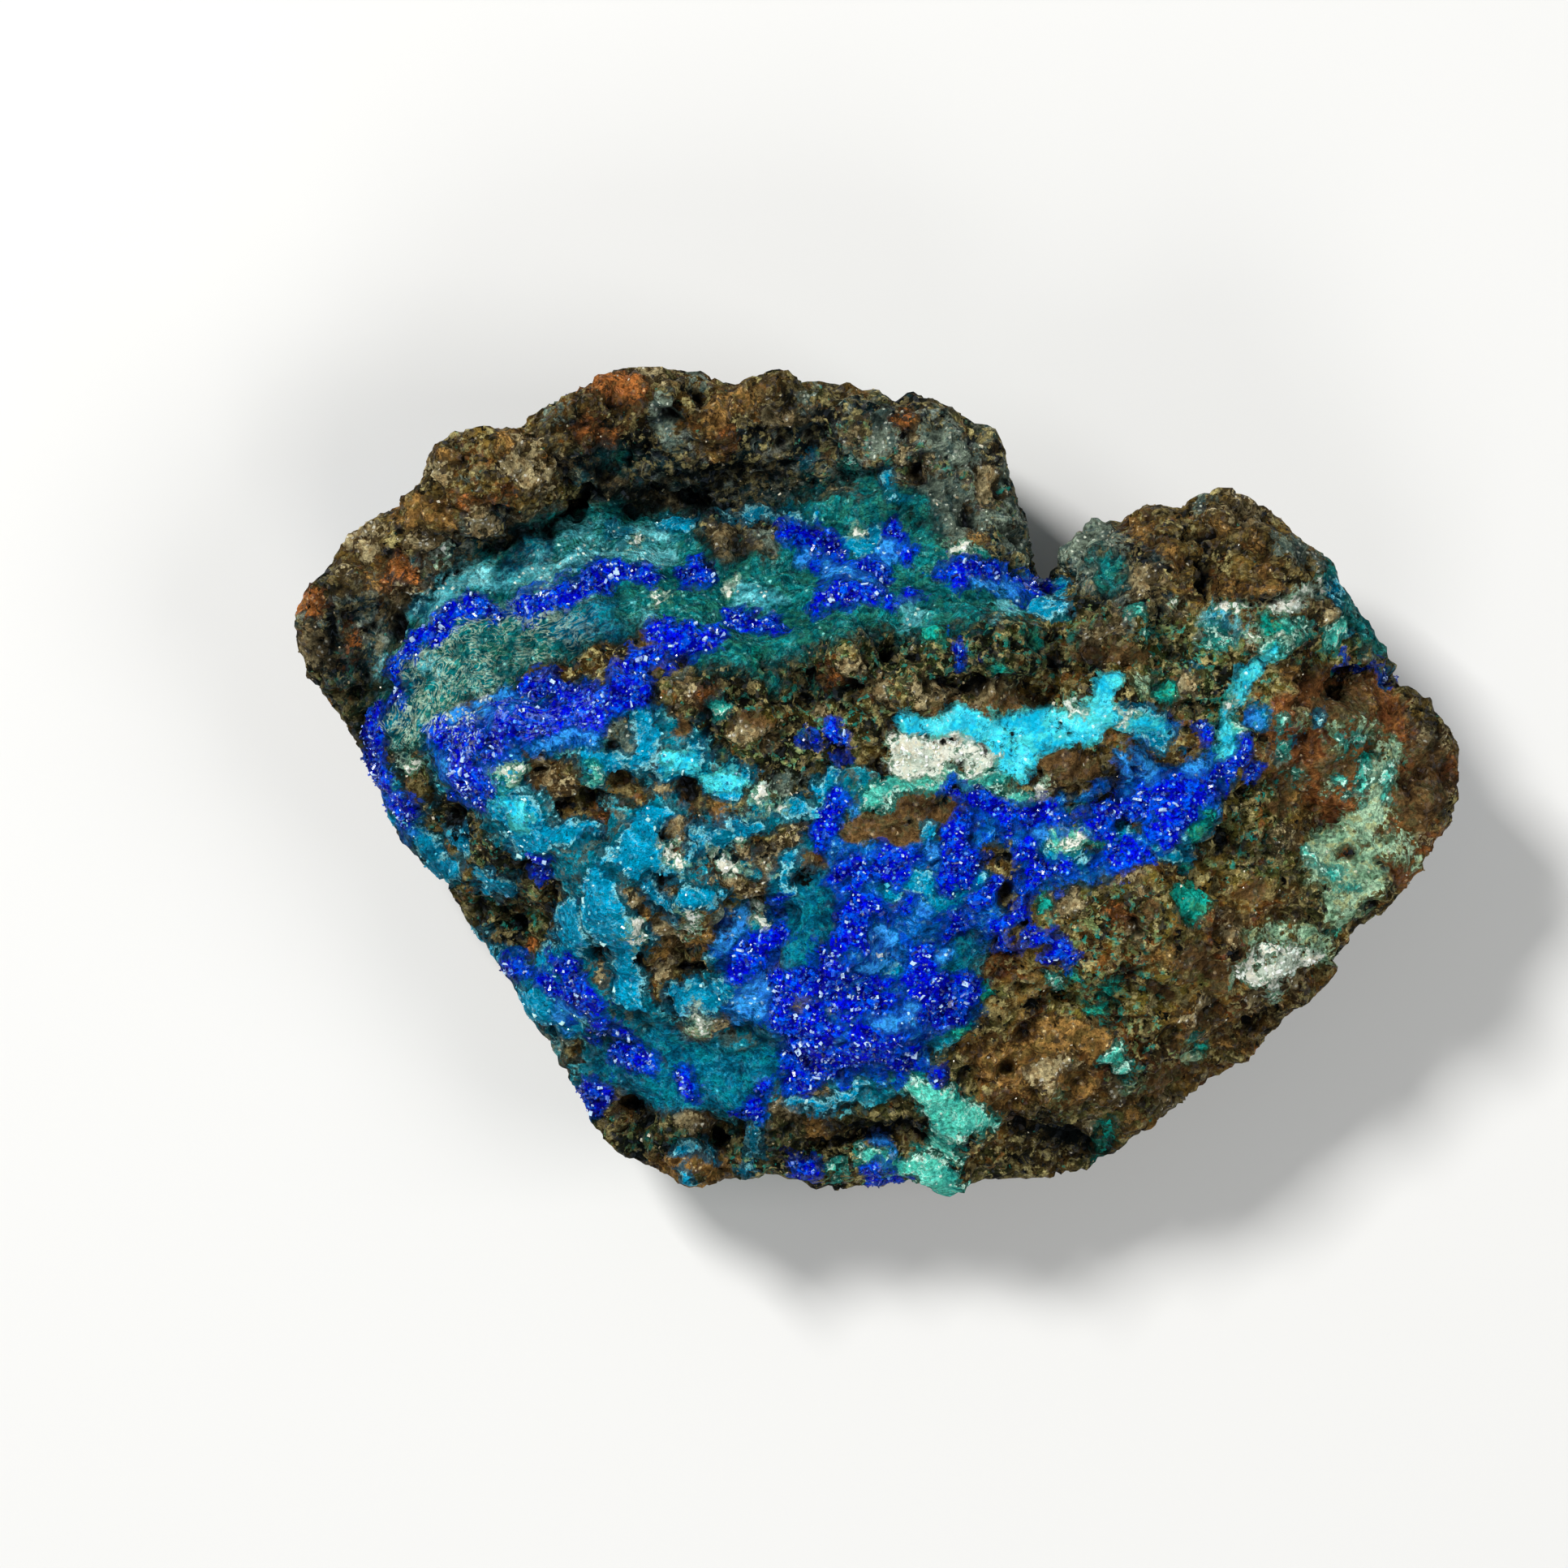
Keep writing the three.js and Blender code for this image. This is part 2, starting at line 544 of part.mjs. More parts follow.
// The stone's geometry at its overall size, centred on its plan and standing on Z 0
function makeStone() {
  const grid = makeGrid();
  while (closePinches(grid) > 0);
  const { positions, triangles } = makeSurface(grid);
  const geometry = new THREE.BufferGeometry();
  geometry.setAttribute('position', new THREE.Float32BufferAttribute(positions, 3));
  geometry.setIndex(triangles);
  geometry.computeBoundingBox();
  const { min, max } = geometry.boundingBox;
  geometry.translate(-(min.x + max.x) / 2, -(min.y + max.y) / 2, -min.z);
  geometry.scale(LENGTH / (max.x - min.x), WIDTH / (max.y - min.y), HEIGHT / (max.z - min.z));
  geometry.computeVertexNormals();
  return geometry;
}

const stone = new THREE.Mesh(makeStone(), STONE);
stone.name = 'specimen';

const part = new THREE.Group();
part.add(stone);

export default part;
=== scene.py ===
"""Looks of the chrysocolla and malachite specimen: one rock with azurite, chrysocolla and
malachite grown on it. Sizes are in millimetres here, and go into Blender in metres."""

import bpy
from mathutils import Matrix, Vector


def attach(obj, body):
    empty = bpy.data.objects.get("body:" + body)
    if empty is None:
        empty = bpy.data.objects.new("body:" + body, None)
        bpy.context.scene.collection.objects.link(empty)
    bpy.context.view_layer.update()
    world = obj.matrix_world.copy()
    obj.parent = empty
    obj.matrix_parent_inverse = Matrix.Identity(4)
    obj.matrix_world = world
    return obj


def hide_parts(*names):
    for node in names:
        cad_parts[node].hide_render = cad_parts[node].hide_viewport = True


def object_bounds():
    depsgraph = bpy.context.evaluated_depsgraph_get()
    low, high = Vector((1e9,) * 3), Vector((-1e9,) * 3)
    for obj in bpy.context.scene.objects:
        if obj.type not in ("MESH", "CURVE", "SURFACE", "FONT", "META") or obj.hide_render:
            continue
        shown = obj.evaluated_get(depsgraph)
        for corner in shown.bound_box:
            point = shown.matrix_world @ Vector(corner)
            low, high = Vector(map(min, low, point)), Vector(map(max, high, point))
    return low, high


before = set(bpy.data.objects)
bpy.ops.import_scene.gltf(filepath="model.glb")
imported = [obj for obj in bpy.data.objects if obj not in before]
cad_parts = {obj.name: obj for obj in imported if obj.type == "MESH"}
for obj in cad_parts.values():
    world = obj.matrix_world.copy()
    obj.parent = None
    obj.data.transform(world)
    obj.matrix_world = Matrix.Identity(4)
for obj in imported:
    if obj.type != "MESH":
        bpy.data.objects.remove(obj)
CAD_LOW, CAD_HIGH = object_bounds()

from types import SimpleNamespace
from typing import NamedTuple

import bpy
import numpy as np
from mathutils import Vector

MM = 0.001

# Where the picture is taken from: straight above, and how wide it is at the outline's level
VIEW_CENTRE = (-4.82, 0.02)
VIEW_WIDTH = 82.7
OUTLINE_LEVEL = 9.5
CAMERA_RISE = 350.0
SENSOR_WIDTH = 36.0

# Line that the shelf's bands follow
SHELF_LINE = [(-26.8, 1.0), (-25.8, 5.0), (-24.6, 7.2), (-22.6, 8.8), (-19.0, 9.2),
              (-16.0, 10.0), (-13.0, 11.1), (-9.5, 11.4), (-4.0, 12.4), (2.0, 11.8),
              (8.0, 10.2)]

# The rock's surface: size of its mesh, and how much it is smoothed before the relief
MESH_SIZE = 0.29
SMOOTH_ROUNDS = 4

# Minerals as seen from above: chains of (x, y, radius)
AZURITE = [
    [(-9.4, 11.4, 0.35), (-9.5, 10.8, 0.35), (-10, 10.8, 0.35)],
    [(-25.3, 6.2, 0.28), (-25.3, 4.6, 0.28), (-26.5, 3.2, 0.28), (-26.2, 1.4, 0.4),
     (-25.2, -0.8, 0.55), (-24.6, -1.4, 0.45)],
    [(-23.1, 3, 0.3), (-22.4, 2.4, 0.5), (-21.5, 2.3, 0.75), (-19.3, 3, 0.9), (-17, 3.6, 0.8),
     (-15.8, 4, 1), (-14.4, 4.2, 1.1), (-13, 4.7, 0.9), (-12.4, 4.6, 0.6)],
    [(-21.5, 1.3, 0.6), (-21.3, 0.2, 0.7), (-20.7, 0.4, 0.75), (-20.8, -0.4, 0.5)],
    [(-19.9, 1.9, 0.5)], [(-18, 5, 0.4), (-17.3, 5.5, 0.4), (-16.4, 5, 0.4)],
    [(-12.5, 6.1, 0.6), (-11.8, 6.5, 0.5)],
    [(-12, 7.8, 0.5), (-9.4, 7.4, 0.6), (-8.5, 7.5, 0.35)], [(-9.5, 6.8, 0.4)],
    [(-7.7, 8.6, 0.25), (-6.8, 8.25, 0.25), (-6.1, 8.25, 0.28), (-5.4, 8.5, 0.25)],
    [(-4.6, 13.2, 0.55), (-3.7, 13.1, 0.6), (-1.4, 11.75, 0.3)], [(-3.1, 11.2, 0.25)],
    [(-2.2, 9.8, 0.5), (-0.6, 9.8, 0.4), (-0.1, 10.1, 0.35)], [(-2.9, 9, 0.3)],
    [(0.2, 10.7, 0.25), (-0.8, 11.2, 0.25)], [(1.1, 13.5, 0.3), (1.9, 12.1, 0.3)],
    [(0.7, 9.35, 0.25)], [(3.6, 10.9, 0.35), (5.2, 11.4, 0.4), (5.8, 11.2, 0.35)],
    [(4.5, 10.7, 0.4), (6.5, 11.3, 0.25), (7.2, 10.8, 0.35), (7.8, 10, 0.4), (8.4, 10.3, 0.45),
     (9, 10.3, 0.35)], [(4.4, 7.2, 0.25), (4.8, 6.8, 0.25)], [(2, 9.9, 0.2)], [(-3.4, 2.4, 0.25)],
    [(-2.2, 2.8, 0.32), (-2.1, 2.2, 0.32), (-1.5, 2.2, 0.3)], [(-1.7, 1.5, 0.25)],
    [(-2.1, -1, 0.3), (-2.6, -1.7, 0.5), (-3, -2.4, 0.4), (-3, -3.1, 0.2)], [(-2.3, -2.4, 0.3)],
    [(1.2, -3.9, 0.75), (0.6, -4.2, 0.5)], [(1.8, -3.7, 0.35)], [(1.4, -4.8, 0.35)],
    [(-1.9, -4.6, 0.4), (-1, -4.6, 0.5), (-1.3, -5.4, 0.65), (-1.4, -6.4, 0.65), (0.2, -6.4, 0.5),
     (0.5, -6.8, 0.4)],
    [(-1.8, -7.4, 0.4), (-1.2, -7.4, 0.65), (-1.6, -8.4, 0.75), (-0.8, -8.6, 0.5)],
    [(-2.4, -9, 0.5), (-1.8, -9.4, 0.65), (-3, -10.6, 0.85), (-1.8, -10.6, 0.75),
     (-4, -10.4, 0.5)], [(1.5, -6.3, 0.2), (2.7, -5.7, 0.2)],
    [(4.3, -6.8, 0.4), (4.6, -7.3, 0.4), (3.4, -7.7, 0.4)], [(5.3, -6.3, 0.4), (6.7, -5.4, 0.3)],
    [(6.2, -7.3, 0.35), (6.9, -7.1, 0.35), (8, -6.3, 0.2)],
    [(2.4, -8.6, 0.5), (2, -9.4, 0.5), (2.9, -9.8, 0.5), (2.2, -10.5, 0.5)],
    [(-4.6, -7.8, 0.3), (-5.3, -8, 0.5), (-6, -8.5, 0.6), (-7.2, -9.5, 0.45),
     (-7.7, -10.2, 0.35)], [(-5.9, -9.1, 0.4)], [(-4.9, -5.5, 0.25), (-5.2, -6.9, 0.2)],
    [(4.9, -1.9, 0.5), (4.3, -2.5, 0.65), (4.5, -3.3, 0.75), (4.4, -4.3, 0.65), (3.8, -4.9, 0.4)],
    [(5, -4, 0.6), (4.8, -4.9, 0.5)],
    [(5.3, -0.8, 0.35), (6, -1.1, 0.5), (6.9, -1.7, 0.5), (6.8, -2.3, 0.4)],
    [(7.8, -2, 0.5), (8.4, -1.6, 0.4)], [(8, -2.9, 0.5), (7.7, -3.4, 0.4)],
    [(8.2, -4.6, 0.5), (8, -5.4, 0.4)], [(8.9, -4.2, 0.35), (9.8, -4.3, 0.3)],
    [(9.4, -5.1, 0.25)], [(4.1, -0.3, 0.2)],
    [(9, -1.6, 0.4), (10.5, -1.8, 0.3), (11.9, -2, 0.5), (12, -2.6, 0.4)],
    [(12.5, -1.1, 0.5), (13.2, -1.3, 0.55), (15.3, -0.3, 0.75), (15.9, -0.1, 0.5)],
    [(15.4, -1.2, 0.75), (16.2, -1, 0.65), (16.5, -1.6, 0.4)], [(16.4, -0.5, 0.4)],
    [(15.9, -2, 0.6), (15.2, -2.3, 0.65), (14.8, -2.7, 0.5)],
    [(13.4, -3.6, 0.5), (14.1, -3.7, 0.45)], [(12.5, -3.7, 0.35), (12.8, -4.4, 0.2)],
    [(11.7, -4.3, 0.35)],
    [(17.5, -0.3, 0.35), (17.4, 0.5, 0.35), (17.9, 0.8, 0.45), (18.3, 0.9, 0.35)],
    [(18.8, 1.8, 0.4), (19.3, 2.1, 0.35), (19.3, 1.5, 0.3)], [(16.9, 3.1, 0.3), (17.5, 2.5, 0.2)],
    [(19.8, 0.5, 0.25)], [(10.4, -9.1, 0.2)], [(6.8, -8.6, 0.25), (7.3, -8.9, 0.25)],
    [(-17.7, -4.3, 0.45)], [(-19, -9.5, 0.3), (-17.5, -10.1, 0.34), (-16.7, -10.7, 0.4)],
    [(-16.6, -9.3, 0.25), (-15.5, -10.2, 0.38), (-15.4, -10.9, 0.75), (-15, -11.3, 0.6)],
    [(-15.8, -11.3, 0.4)], [(-14.6, -12.6, 0.4), (-13.3, -13.1, 0.25)],
    [(-13.6, -14, 0.4), (-12.5, -14.4, 0.52), (-11.8, -14.6, 0.4)],
    [(-10.1, -15.3, 0.4), (-10, -15.8, 0.35), (-9.4, -16.2, 0.2)],
    [(-14.7, -15.9, 0.4), (-14.5, -16.4, 0.45), (-14.7, -16.9, 0.35)],
    [(-6, -15.7, 0.25), (-6.6, -17, 0.3), (-6.3, -17.6, 0.15)], [(-4.9, -13.8, 0.2)],
    [(-5, -12.2, 0.4), (-4.3, -13.3, 0.4)], [(3.2, -15.3, 0.3)], [(-0.2, -20.6, 0.4)],
    [(1.1, -20.8, 0.25)], [(-4.4, -19.8, 0.25), (-3.5, -20.2, 0.25)],
    [(8.6, -8, 0.3), (9.9, -8.5, 0.3), (8.9, -9.2, 0.25)], [(7.9, -7.9, 0.25)],
    [(-24.4, 7, 0.4), (-21.5, 9.3, 0.45), (-19.8, 9.1, 0.3), (-18.2, 9.1, 0.45), (-17, 9.9, 0.42),
     (-15.8, 10.1, 0.4), (-14.2, 11, 0.5), (-13.2, 11.2, 0.5), (-12.4, 11.1, 0.4),
     (-11.7, 10.5, 0.3)], [(24.2, 6.4, 0), (25.9, 6.2, 0), (26.8, 5.5, 0.05)],
]
AZURITE_AREAS = [
    [(-5.5, -10), (-5.3, -12), (-4.3, -13), (-4.3, -14.5), (-5.2, -15.2), (-5, -16.2),
     (-4, -16.2), (-0.3, -14.6), (1.4, -15.3), (2.4, -15), (2.2, -14), (3, -13), (4.6, -12.5),
     (5.2, -11.5), (5.2, -10.5), (3, -10), (0, -10.2), (-2, -9.6)],
]
AZURITE_GAPS = [
    [(0, -15, 0.6)], [(1.2, -14.2, 0.3)], [(-0.8, -12.2, 0.25)],
    [(-4, -11.5, 0.25), (-2.9, -11, 0.25)], [(-2.5, -12, 0.2), (-1.6, -12.7, 0.2)],
    [(-1.4, -11.8, 0.15), (0, -12, 0.15)], [(6.3, -3.8, 0.6)], [(-1.6, -5.9, 0.2)],
    [(2.6, -8, 0.3)], [(0.4, -10.6, 0.25), (1.4, -10.9, 0.2)],
    [(9.7, -2.7, 0.8), (11, -2.7, 0.75)], [(-20.2, 2, 0.3)], [(-18.8, 3.9, 0.25)],
    [(-16.2, 4.4, 0.2)], [(-0.4, -5.7, 0.3)], [(-1.8, -13.4, 0.3)], [(2.8, -12.6, 0.3)],
    [(14.8, -1.6, 0.2)], [(5.6, -2.8, 0.25)], [(-18.4, 3.2, 0.15)], [(-15.6, 4.4, 0.15)],
    [(-22.4, 3.6, 0.6), (-21.2, 3.6, 0.55), (-20.4, 2.9, 0.4)], [(-19.6, 4.4, 0.4)],
    [(-0.3, -8.3, 0.5), (0.4, -9.1, 0.5)], [(-1.3, -10.7, 0.4)],
    [(0.5, -12.5, 0.7), (1.4, -12.6, 0.7), (2, -11.8, 0.55)],
]

# Lighter, medium blue
SKY = [
    [(-3.2, 12.2, 0.7), (-2, 11.2, 0.8), (-0.6, 10.8, 0.6), (0.4, 11.6, 0.5)],
    [(1.2, 12.8, 0.5), (0.2, 12.2, 0.4)], [(4.8, 11, 0.6), (7.6, 10.4, 0.6)],
    [(-6.9, -7.2, 0.35), (-7.8, -8.3, 0.35)], [(-6, -10.4, 0.8), (-7, -11.4, 0.7)],
    [(-5.6, -11.6, 0.6)], [(16.8, 0.8, 0.4), (16.2, 0.4, 0.4)],
    [(14.2, 0.7, 0.5), (14.1, 1.5, 0.35)], [(14.3, 0.1, 0.4)], [(11.5, -0.5, 0.3)],
    [(-2, -0.6, 0.4), (-1.2, -1, 0.3)], [(3, -3.2, 0.5)], [(2.6, -6.8, 0.5)],
    [(-0.6, -9.6, 0.5), (0.4, -8, 0.4)], [(3.6, -9, 0.5)], [(-20.4, 3.6, 0.6), (-18.6, 4.2, 0.5)],
    [(20.2, 3.4, 0.4)], [(0.5, -18.8, 0.5)], [(15.6, 2.8, 0.3)], [(-2.4, -13.8, 0.5)],
    [(-16, -11.8, 0.5)], [(-22.2, 1, 0.4)], [(-24.2, -2.2, 0.4)],
    [(-17.6, 2.4, 0.5), (-15, 2.8, 0.5)], [(-23, 2.6, 0.3), (-21.6, 3.6, 0.4)],
    [(11.9, -2.2, 0.3)], [(8.6, -2.2, 0.3)], [(12.8, 1.2, 0.35), (13.6, 0.4, 0.3)],
    [(-0.6, -8.2, 0.5), (0.2, -8.9, 0.4)], [(-0.5, -5.8, 0.35)], [(-1.9, -13.4, 0.4)],
    [(2.9, -12.6, 0.4)], [(-16.4, -11.9, 0.4)], [(-0.2, -8.4, 0.4), (0.4, -9.2, 0.4)],
    [(-1.4, -10.8, 0.3)], [(0.6, -12.4, 0.6), (1.4, -12.4, 0.6), (2, -11.8, 0.4)],
]

# Saturated turquoise crusts
TURQUOISE = [
    [(-19.3, 0.3, 0.45), (-19.5, -1, 0.9), (-18.5, -1.2, 1), (-18.3, -2.2, 1), (-17.7, -3, 0.9),
     (-17.2, -2.4, 0.7), (-16.4, -2.7, 0.7), (-14.9, -2.3, 0.4)],
    [(-10.8, 1, 0.55), (-10.1, 1.3, 0.6), (-9.8, 1.6, 0.5)],
    [(-15.2, 1.4, 0.35), (-12.6, 1.2, 0.4), (-11.7, 2.6, 0.45), (-11.9, 3.3, 0.45),
     (-12.3, 3.6, 0.4)], [(-14.8, 0.6, 0.5)],
    [(-14.6, -4.6, 0.4), (-14.2, -6.5, 0.8), (-14, -7.5, 0.8), (-13.2, -8.3, 0.7),
     (-12.8, -11, 0.8)],
    [(-16, -6.5, 0.4), (-15.8, -7.3, 0.6), (-16, -8.4, 0.8), (-17, -10, 0.5)],
    [(-18, -11.3, 0.8), (-16, -12.4, 0.6)],
    [(-25.2, -1.9, 0.5), (-24, -2.3, 0.5), (-23, -4.2, 0.5), (-22.3, -4.4, 0.5)],
    [(-21.9, -2.3, 0.4), (-21.5, -3, 0.4)], [(-21, -4.8, 0.35), (-19.3, -5.3, 0.35)],
    [(-20.6, -7.8, 0.35)], [(-20.2, -8.8, 0.3), (-18.5, -9.3, 0.3)],
    [(-9.4, -10.6, 0.5), (-8.6, -11.4, 0.5), (-10.6, -11.2, 0.5)],
    [(1.2, -5.2, 0.5), (2.6, -5.2, 0.7), (3, -6.2, 0.7), (5.5, -5.5, 0.4)], [(0.8, -9.8, 0.4)],
    [(3, -2.4, 0.4)], [(9.4, -3.5, 0.5), (10.7, -3.7, 0.5)], [(12.4, -3.1, 0.4)],
    [(16.1, -3.6, 0.15), (16.5, -4.6, 0.15)], [(17.2, -1.2, 0.3), (17.1, -2.2, 0.3)],
    [(16.3, -2.7, 0.3)], [(15.2, -3.6, 0.4)],
    [(-4.6, -16.8, 0.35), (-2.4, -17, 0.35), (-1.5, -16.2, 0.35), (-0.6, -15.8, 0.3)],
    [(-10, -19.2, 0.25), (-8.6, -19.5, 0.25)], [(-9.8, -20.9, 0.2)], [(-6.7, -20.3, 0.3)],
    [(-6.3, -17.5, 0.2), (-6.3, -19.3, 0.2)],
    [(-12.3, -1.2, 0.4), (-11.4, -1.6, 0.5), (-10.7, -1.3, 0.4)],
    [(-11.2, -4.3, 0.4), (-10.2, -4.4, 0.4), (-9.7, -3.6, 0.4), (-9.4, -2.5, 0.5),
     (-8.4, -2.9, 0.5), (-7.6, -2.4, 0.7), (-6.6, -2.3, 0.6)], [(-8.3, -3.4, 0.3)],
    [(-5, -1.4, 0.35), (-3.9, -1.3, 0.4), (-3.2, -1.6, 0.3)],
    [(-12.1, -5.2, 0.4), (-10.9, -6.6, 0.5)], [(-9.8, -5.9, 0.5), (-9.1, -6, 0.6)],
    [(-7.9, -6, 0.2)], [(-7.1, -6.8, 0.2)], [(-8.2, -8.7, 0.3)],
    [(-8.4, -10.4, 0.4), (-7.4, -10.8, 0.3)], [(-9.6, -11.2, 0.4), (-8.6, -11.6, 0.4)],
    [(-4.4, -3.6, 0.25), (-4.6, -4.6, 0.3), (-4.4, -5.2, 0.3)], [(-3.6, -3.1, 0.2)],
    [(-12, -7.8, 0.2)], [(-14, 13.3, 0.3), (-13.2, 13, 0.3)],
    [(-10.9, 13.5, 0.4), (-10, 13.6, 0.4)], [(-6.6, 14.1, 0.12), (-3.4, 14, 0.15)],
    [(-3.8, 16.9, 0.15)], [(-7.9, 13.9, 0.1)], [(0.7, 16.2, 0.15), (1.1, 15.2, 0.15)],
    [(-1.6, 12.8, 0.4), (-0.4, 12.4, 0.5), (0.2, 13.4, 0.3)], [(9.8, 10.2, 0.3), (9.8, 9, 0.3)],
    [(16.9, 6.3, 0.2)], [(23.9, 10.4, 0.25), (24.4, 9.8, 0.2)], [(24.7, 8, 0.15)],
    [(26.6, 5.6, 0.15)], [(20.2, 3.6, 0.5)], [(23.4, 3.6, 0.2)], [(22, 2.7, 0.1)],
    [(-24, 9.4, 0.2)], [(-16.6, 11, 0.05), (-14, 11.8, 0.1)],
    [(-8.5, 0.2, 0.5), (-8, 0, 0.8), (-7.2, 0.5, 0.5)], [(-2.2, 0.2, 0.5), (-2.9, -0.9, 0.35)],
    [(18.2, 8.7, 0.3), (18.6, 9.1, 0.2)], [(8.4, 9.2, 0.4), (9.2, 8.8, 0.3)], [(10.9, -1.2, 0.3)],
    [(13.2, -2.8, 0.4)],
    [(-12, -2.2, 0.8), (-12.6, -3.2, 0.9), (-11.8, -3.6, 0.8), (-12.8, -4.2, 0.7),
     (-13.6, -3.8, 0.5)], [(-10.8, 1, 0.6), (-10.2, 1.3, 0.7), (-9.8, 1.6, 0.5)],
    [(12.6, 3.6, 0.5), (14.2, 3, 0.7), (15.2, 3.1, 0.6), (14.8, 2.3, 0.4)],
]

# The bright vein across the middle
VEIN = [
    [(2, 3.2, 0.6), (3.6, 3.2, 0.8), (5.3, 3, 0.8), (8, 2.5, 1.1), (9, 2.9, 1), (10, 2.7, 0.9),
     (11, 3.2, 0.9), (12, 3.9, 0.7), (12.3, 5.3, 0.35)],
    [(7, 1.5, 0.8), (7.8, 1.2, 0.5), (7.5, 0.7, 0.3)], [(12, 3.9, 0.5), (12.8, 3.6, 0.3)],
    [(21, 7.1, 0.15), (19.7, 6, 0.22), (19, 4.8, 0.35)], [(18.5, 2.6, 0.35), (18.2, 1.6, 0.3)],
    [(18.7, 3.6, 0.3)], [(12.6, 3.3, 0.35), (14.9, 3, 0.3)],
    [(-10.8, 1.3, 0.35), (-9.8, 1.2, 0.4)], [(-8.6, 0.3, 0.45), (-7.5, 0.2, 0.4)],
    [(-19.3, -0.6, 0.4), (-18.5, -1.7, 0.4)],
]
# Bright green-blue crusts
MINT = [
    [(2, -15.8, 0.4), (3.4, -17, 1), (4.4, -17.5, 1), (5.6, -17.4, 0.6)],
    [(3.5, -18.4, 0.6), (3.8, -19.2, 0.5)],
    [(-0.5, -19.6, 0.5), (0.7, -20, 0.45), (1.9, -20, 0.55), (3, -20.4, 0.7), (3.7, -21.1, 0.7)],
    [(-2.2, -20.1, 0.4)], [(24.4, 0.2, 0.15)], [(24.4, 2.2, 0.2)],
    [(7.4, -0.8, 0.55), (7.9, -1.3, 0.4)], [(3, 0.2, 0.35), (5, 0.1, 0.35), (6.5, 0.4, 0.35)],
    [(-8.3, 3.9, 0.3)], [(-14.9, 0.6, 0.45)], [(-19.2, 0.6, 0.4)],
    [(5.6, 12, 0.2), (4.4, 12.3, 0.2)], [(13.8, 9, 0.15)], [(14.4, 8, 0.2)],
    [(17.6, 7.6, 0.1), (18.7, 7.7, 0.12)], [(17.8, 9, 0.1)], [(21.3, 3.4, 0.12)],
    [(21.4, 2.1, 0.12)], [(24.8, -0.6, 0.15)], [(25.2, 2.5, 0.12)], [(21.9, 0.6, 0.1)],
    [(-1.3, 17.2, 0.25)], [(9.5, -10.2, 0.3)],
    [(-0.4, -0.6, 0.5), (0.7, -0.3, 0.6), (3.2, 0.5, 0.45)],
    [(9.4, -2.5, 0.5), (10.2, -2.9, 0.85), (11.3, -2.7, 0.6)],
    [(22.8, -4, 0.12), (25.2, -5.4, 0.12)], [(27, 0.8, 0.2), (26.6, -1.2, 0.12)],
    [(25.7, 1.2, 0.2), (25.8, -0.6, 0.2)], [(21.6, 8.4, 0.35), (22.2, 8.2, 0.35)],
    [(20.6, 7.1, 0.3), (21.2, 7.4, 0.2)], [(5.2, 0.2, 0.4), (6.2, -0.2, 0.4)], [(20.6, 8.5, 0.2)],
    [(18.9, 4.4, 0.45), (18.5, 2.4, 0.55), (18.2, 1.6, 0.35)],
    [(23.5, 7.5, 0.5), (24.3, 8.4, 0.35)], [(12.9, -14.1, 0.25), (12.2, -14.6, 0.3)],
    [(13.1, -15, 0.25)], [(16.9, -13.6, 0.2)], [(3.6, -17.6, 0.8)],
]
# Deep green pieces
JADE = [
    [(16.4, -5.9, 0.5), (16.5, -6.5, 0.55)], [(12.1, -10.8, 0.35)], [(11.7, -11.9, 0.4)],
    [(15, 5, 0.6), (15.8, 4.8, 0.4)], [(17, -1.4, 0.35), (16.8, -2.4, 0.25)], [(16.3, -4.4, 0.2)],
    [(12.2, -18.2, 0.35), (11.4, -18.9, 0.35)], [(8.4, 7.6, 0.3)], [(3.2, 7.6, 0.3)],
    [(6.2, 6.2, 0.2)], [(24, -7.6, 0.2)], [(25.8, 1.8, 0.3)], [(9.2, -5, 0.2)], [(-6, 6.4, 0.3)],
    [(4.6, -12.8, 0.3)], [(5.6, -10.8, 0.3)], [(10.6, -9.8, 0.2)], [(8.6, -6.4, 0.25)],
    [(12.8, -14.4, 0.25)], [(17.2, -13.6, 0.2)], [(20.4, 8.3, 0.35), (21.6, 8.1, 0.3)],
]
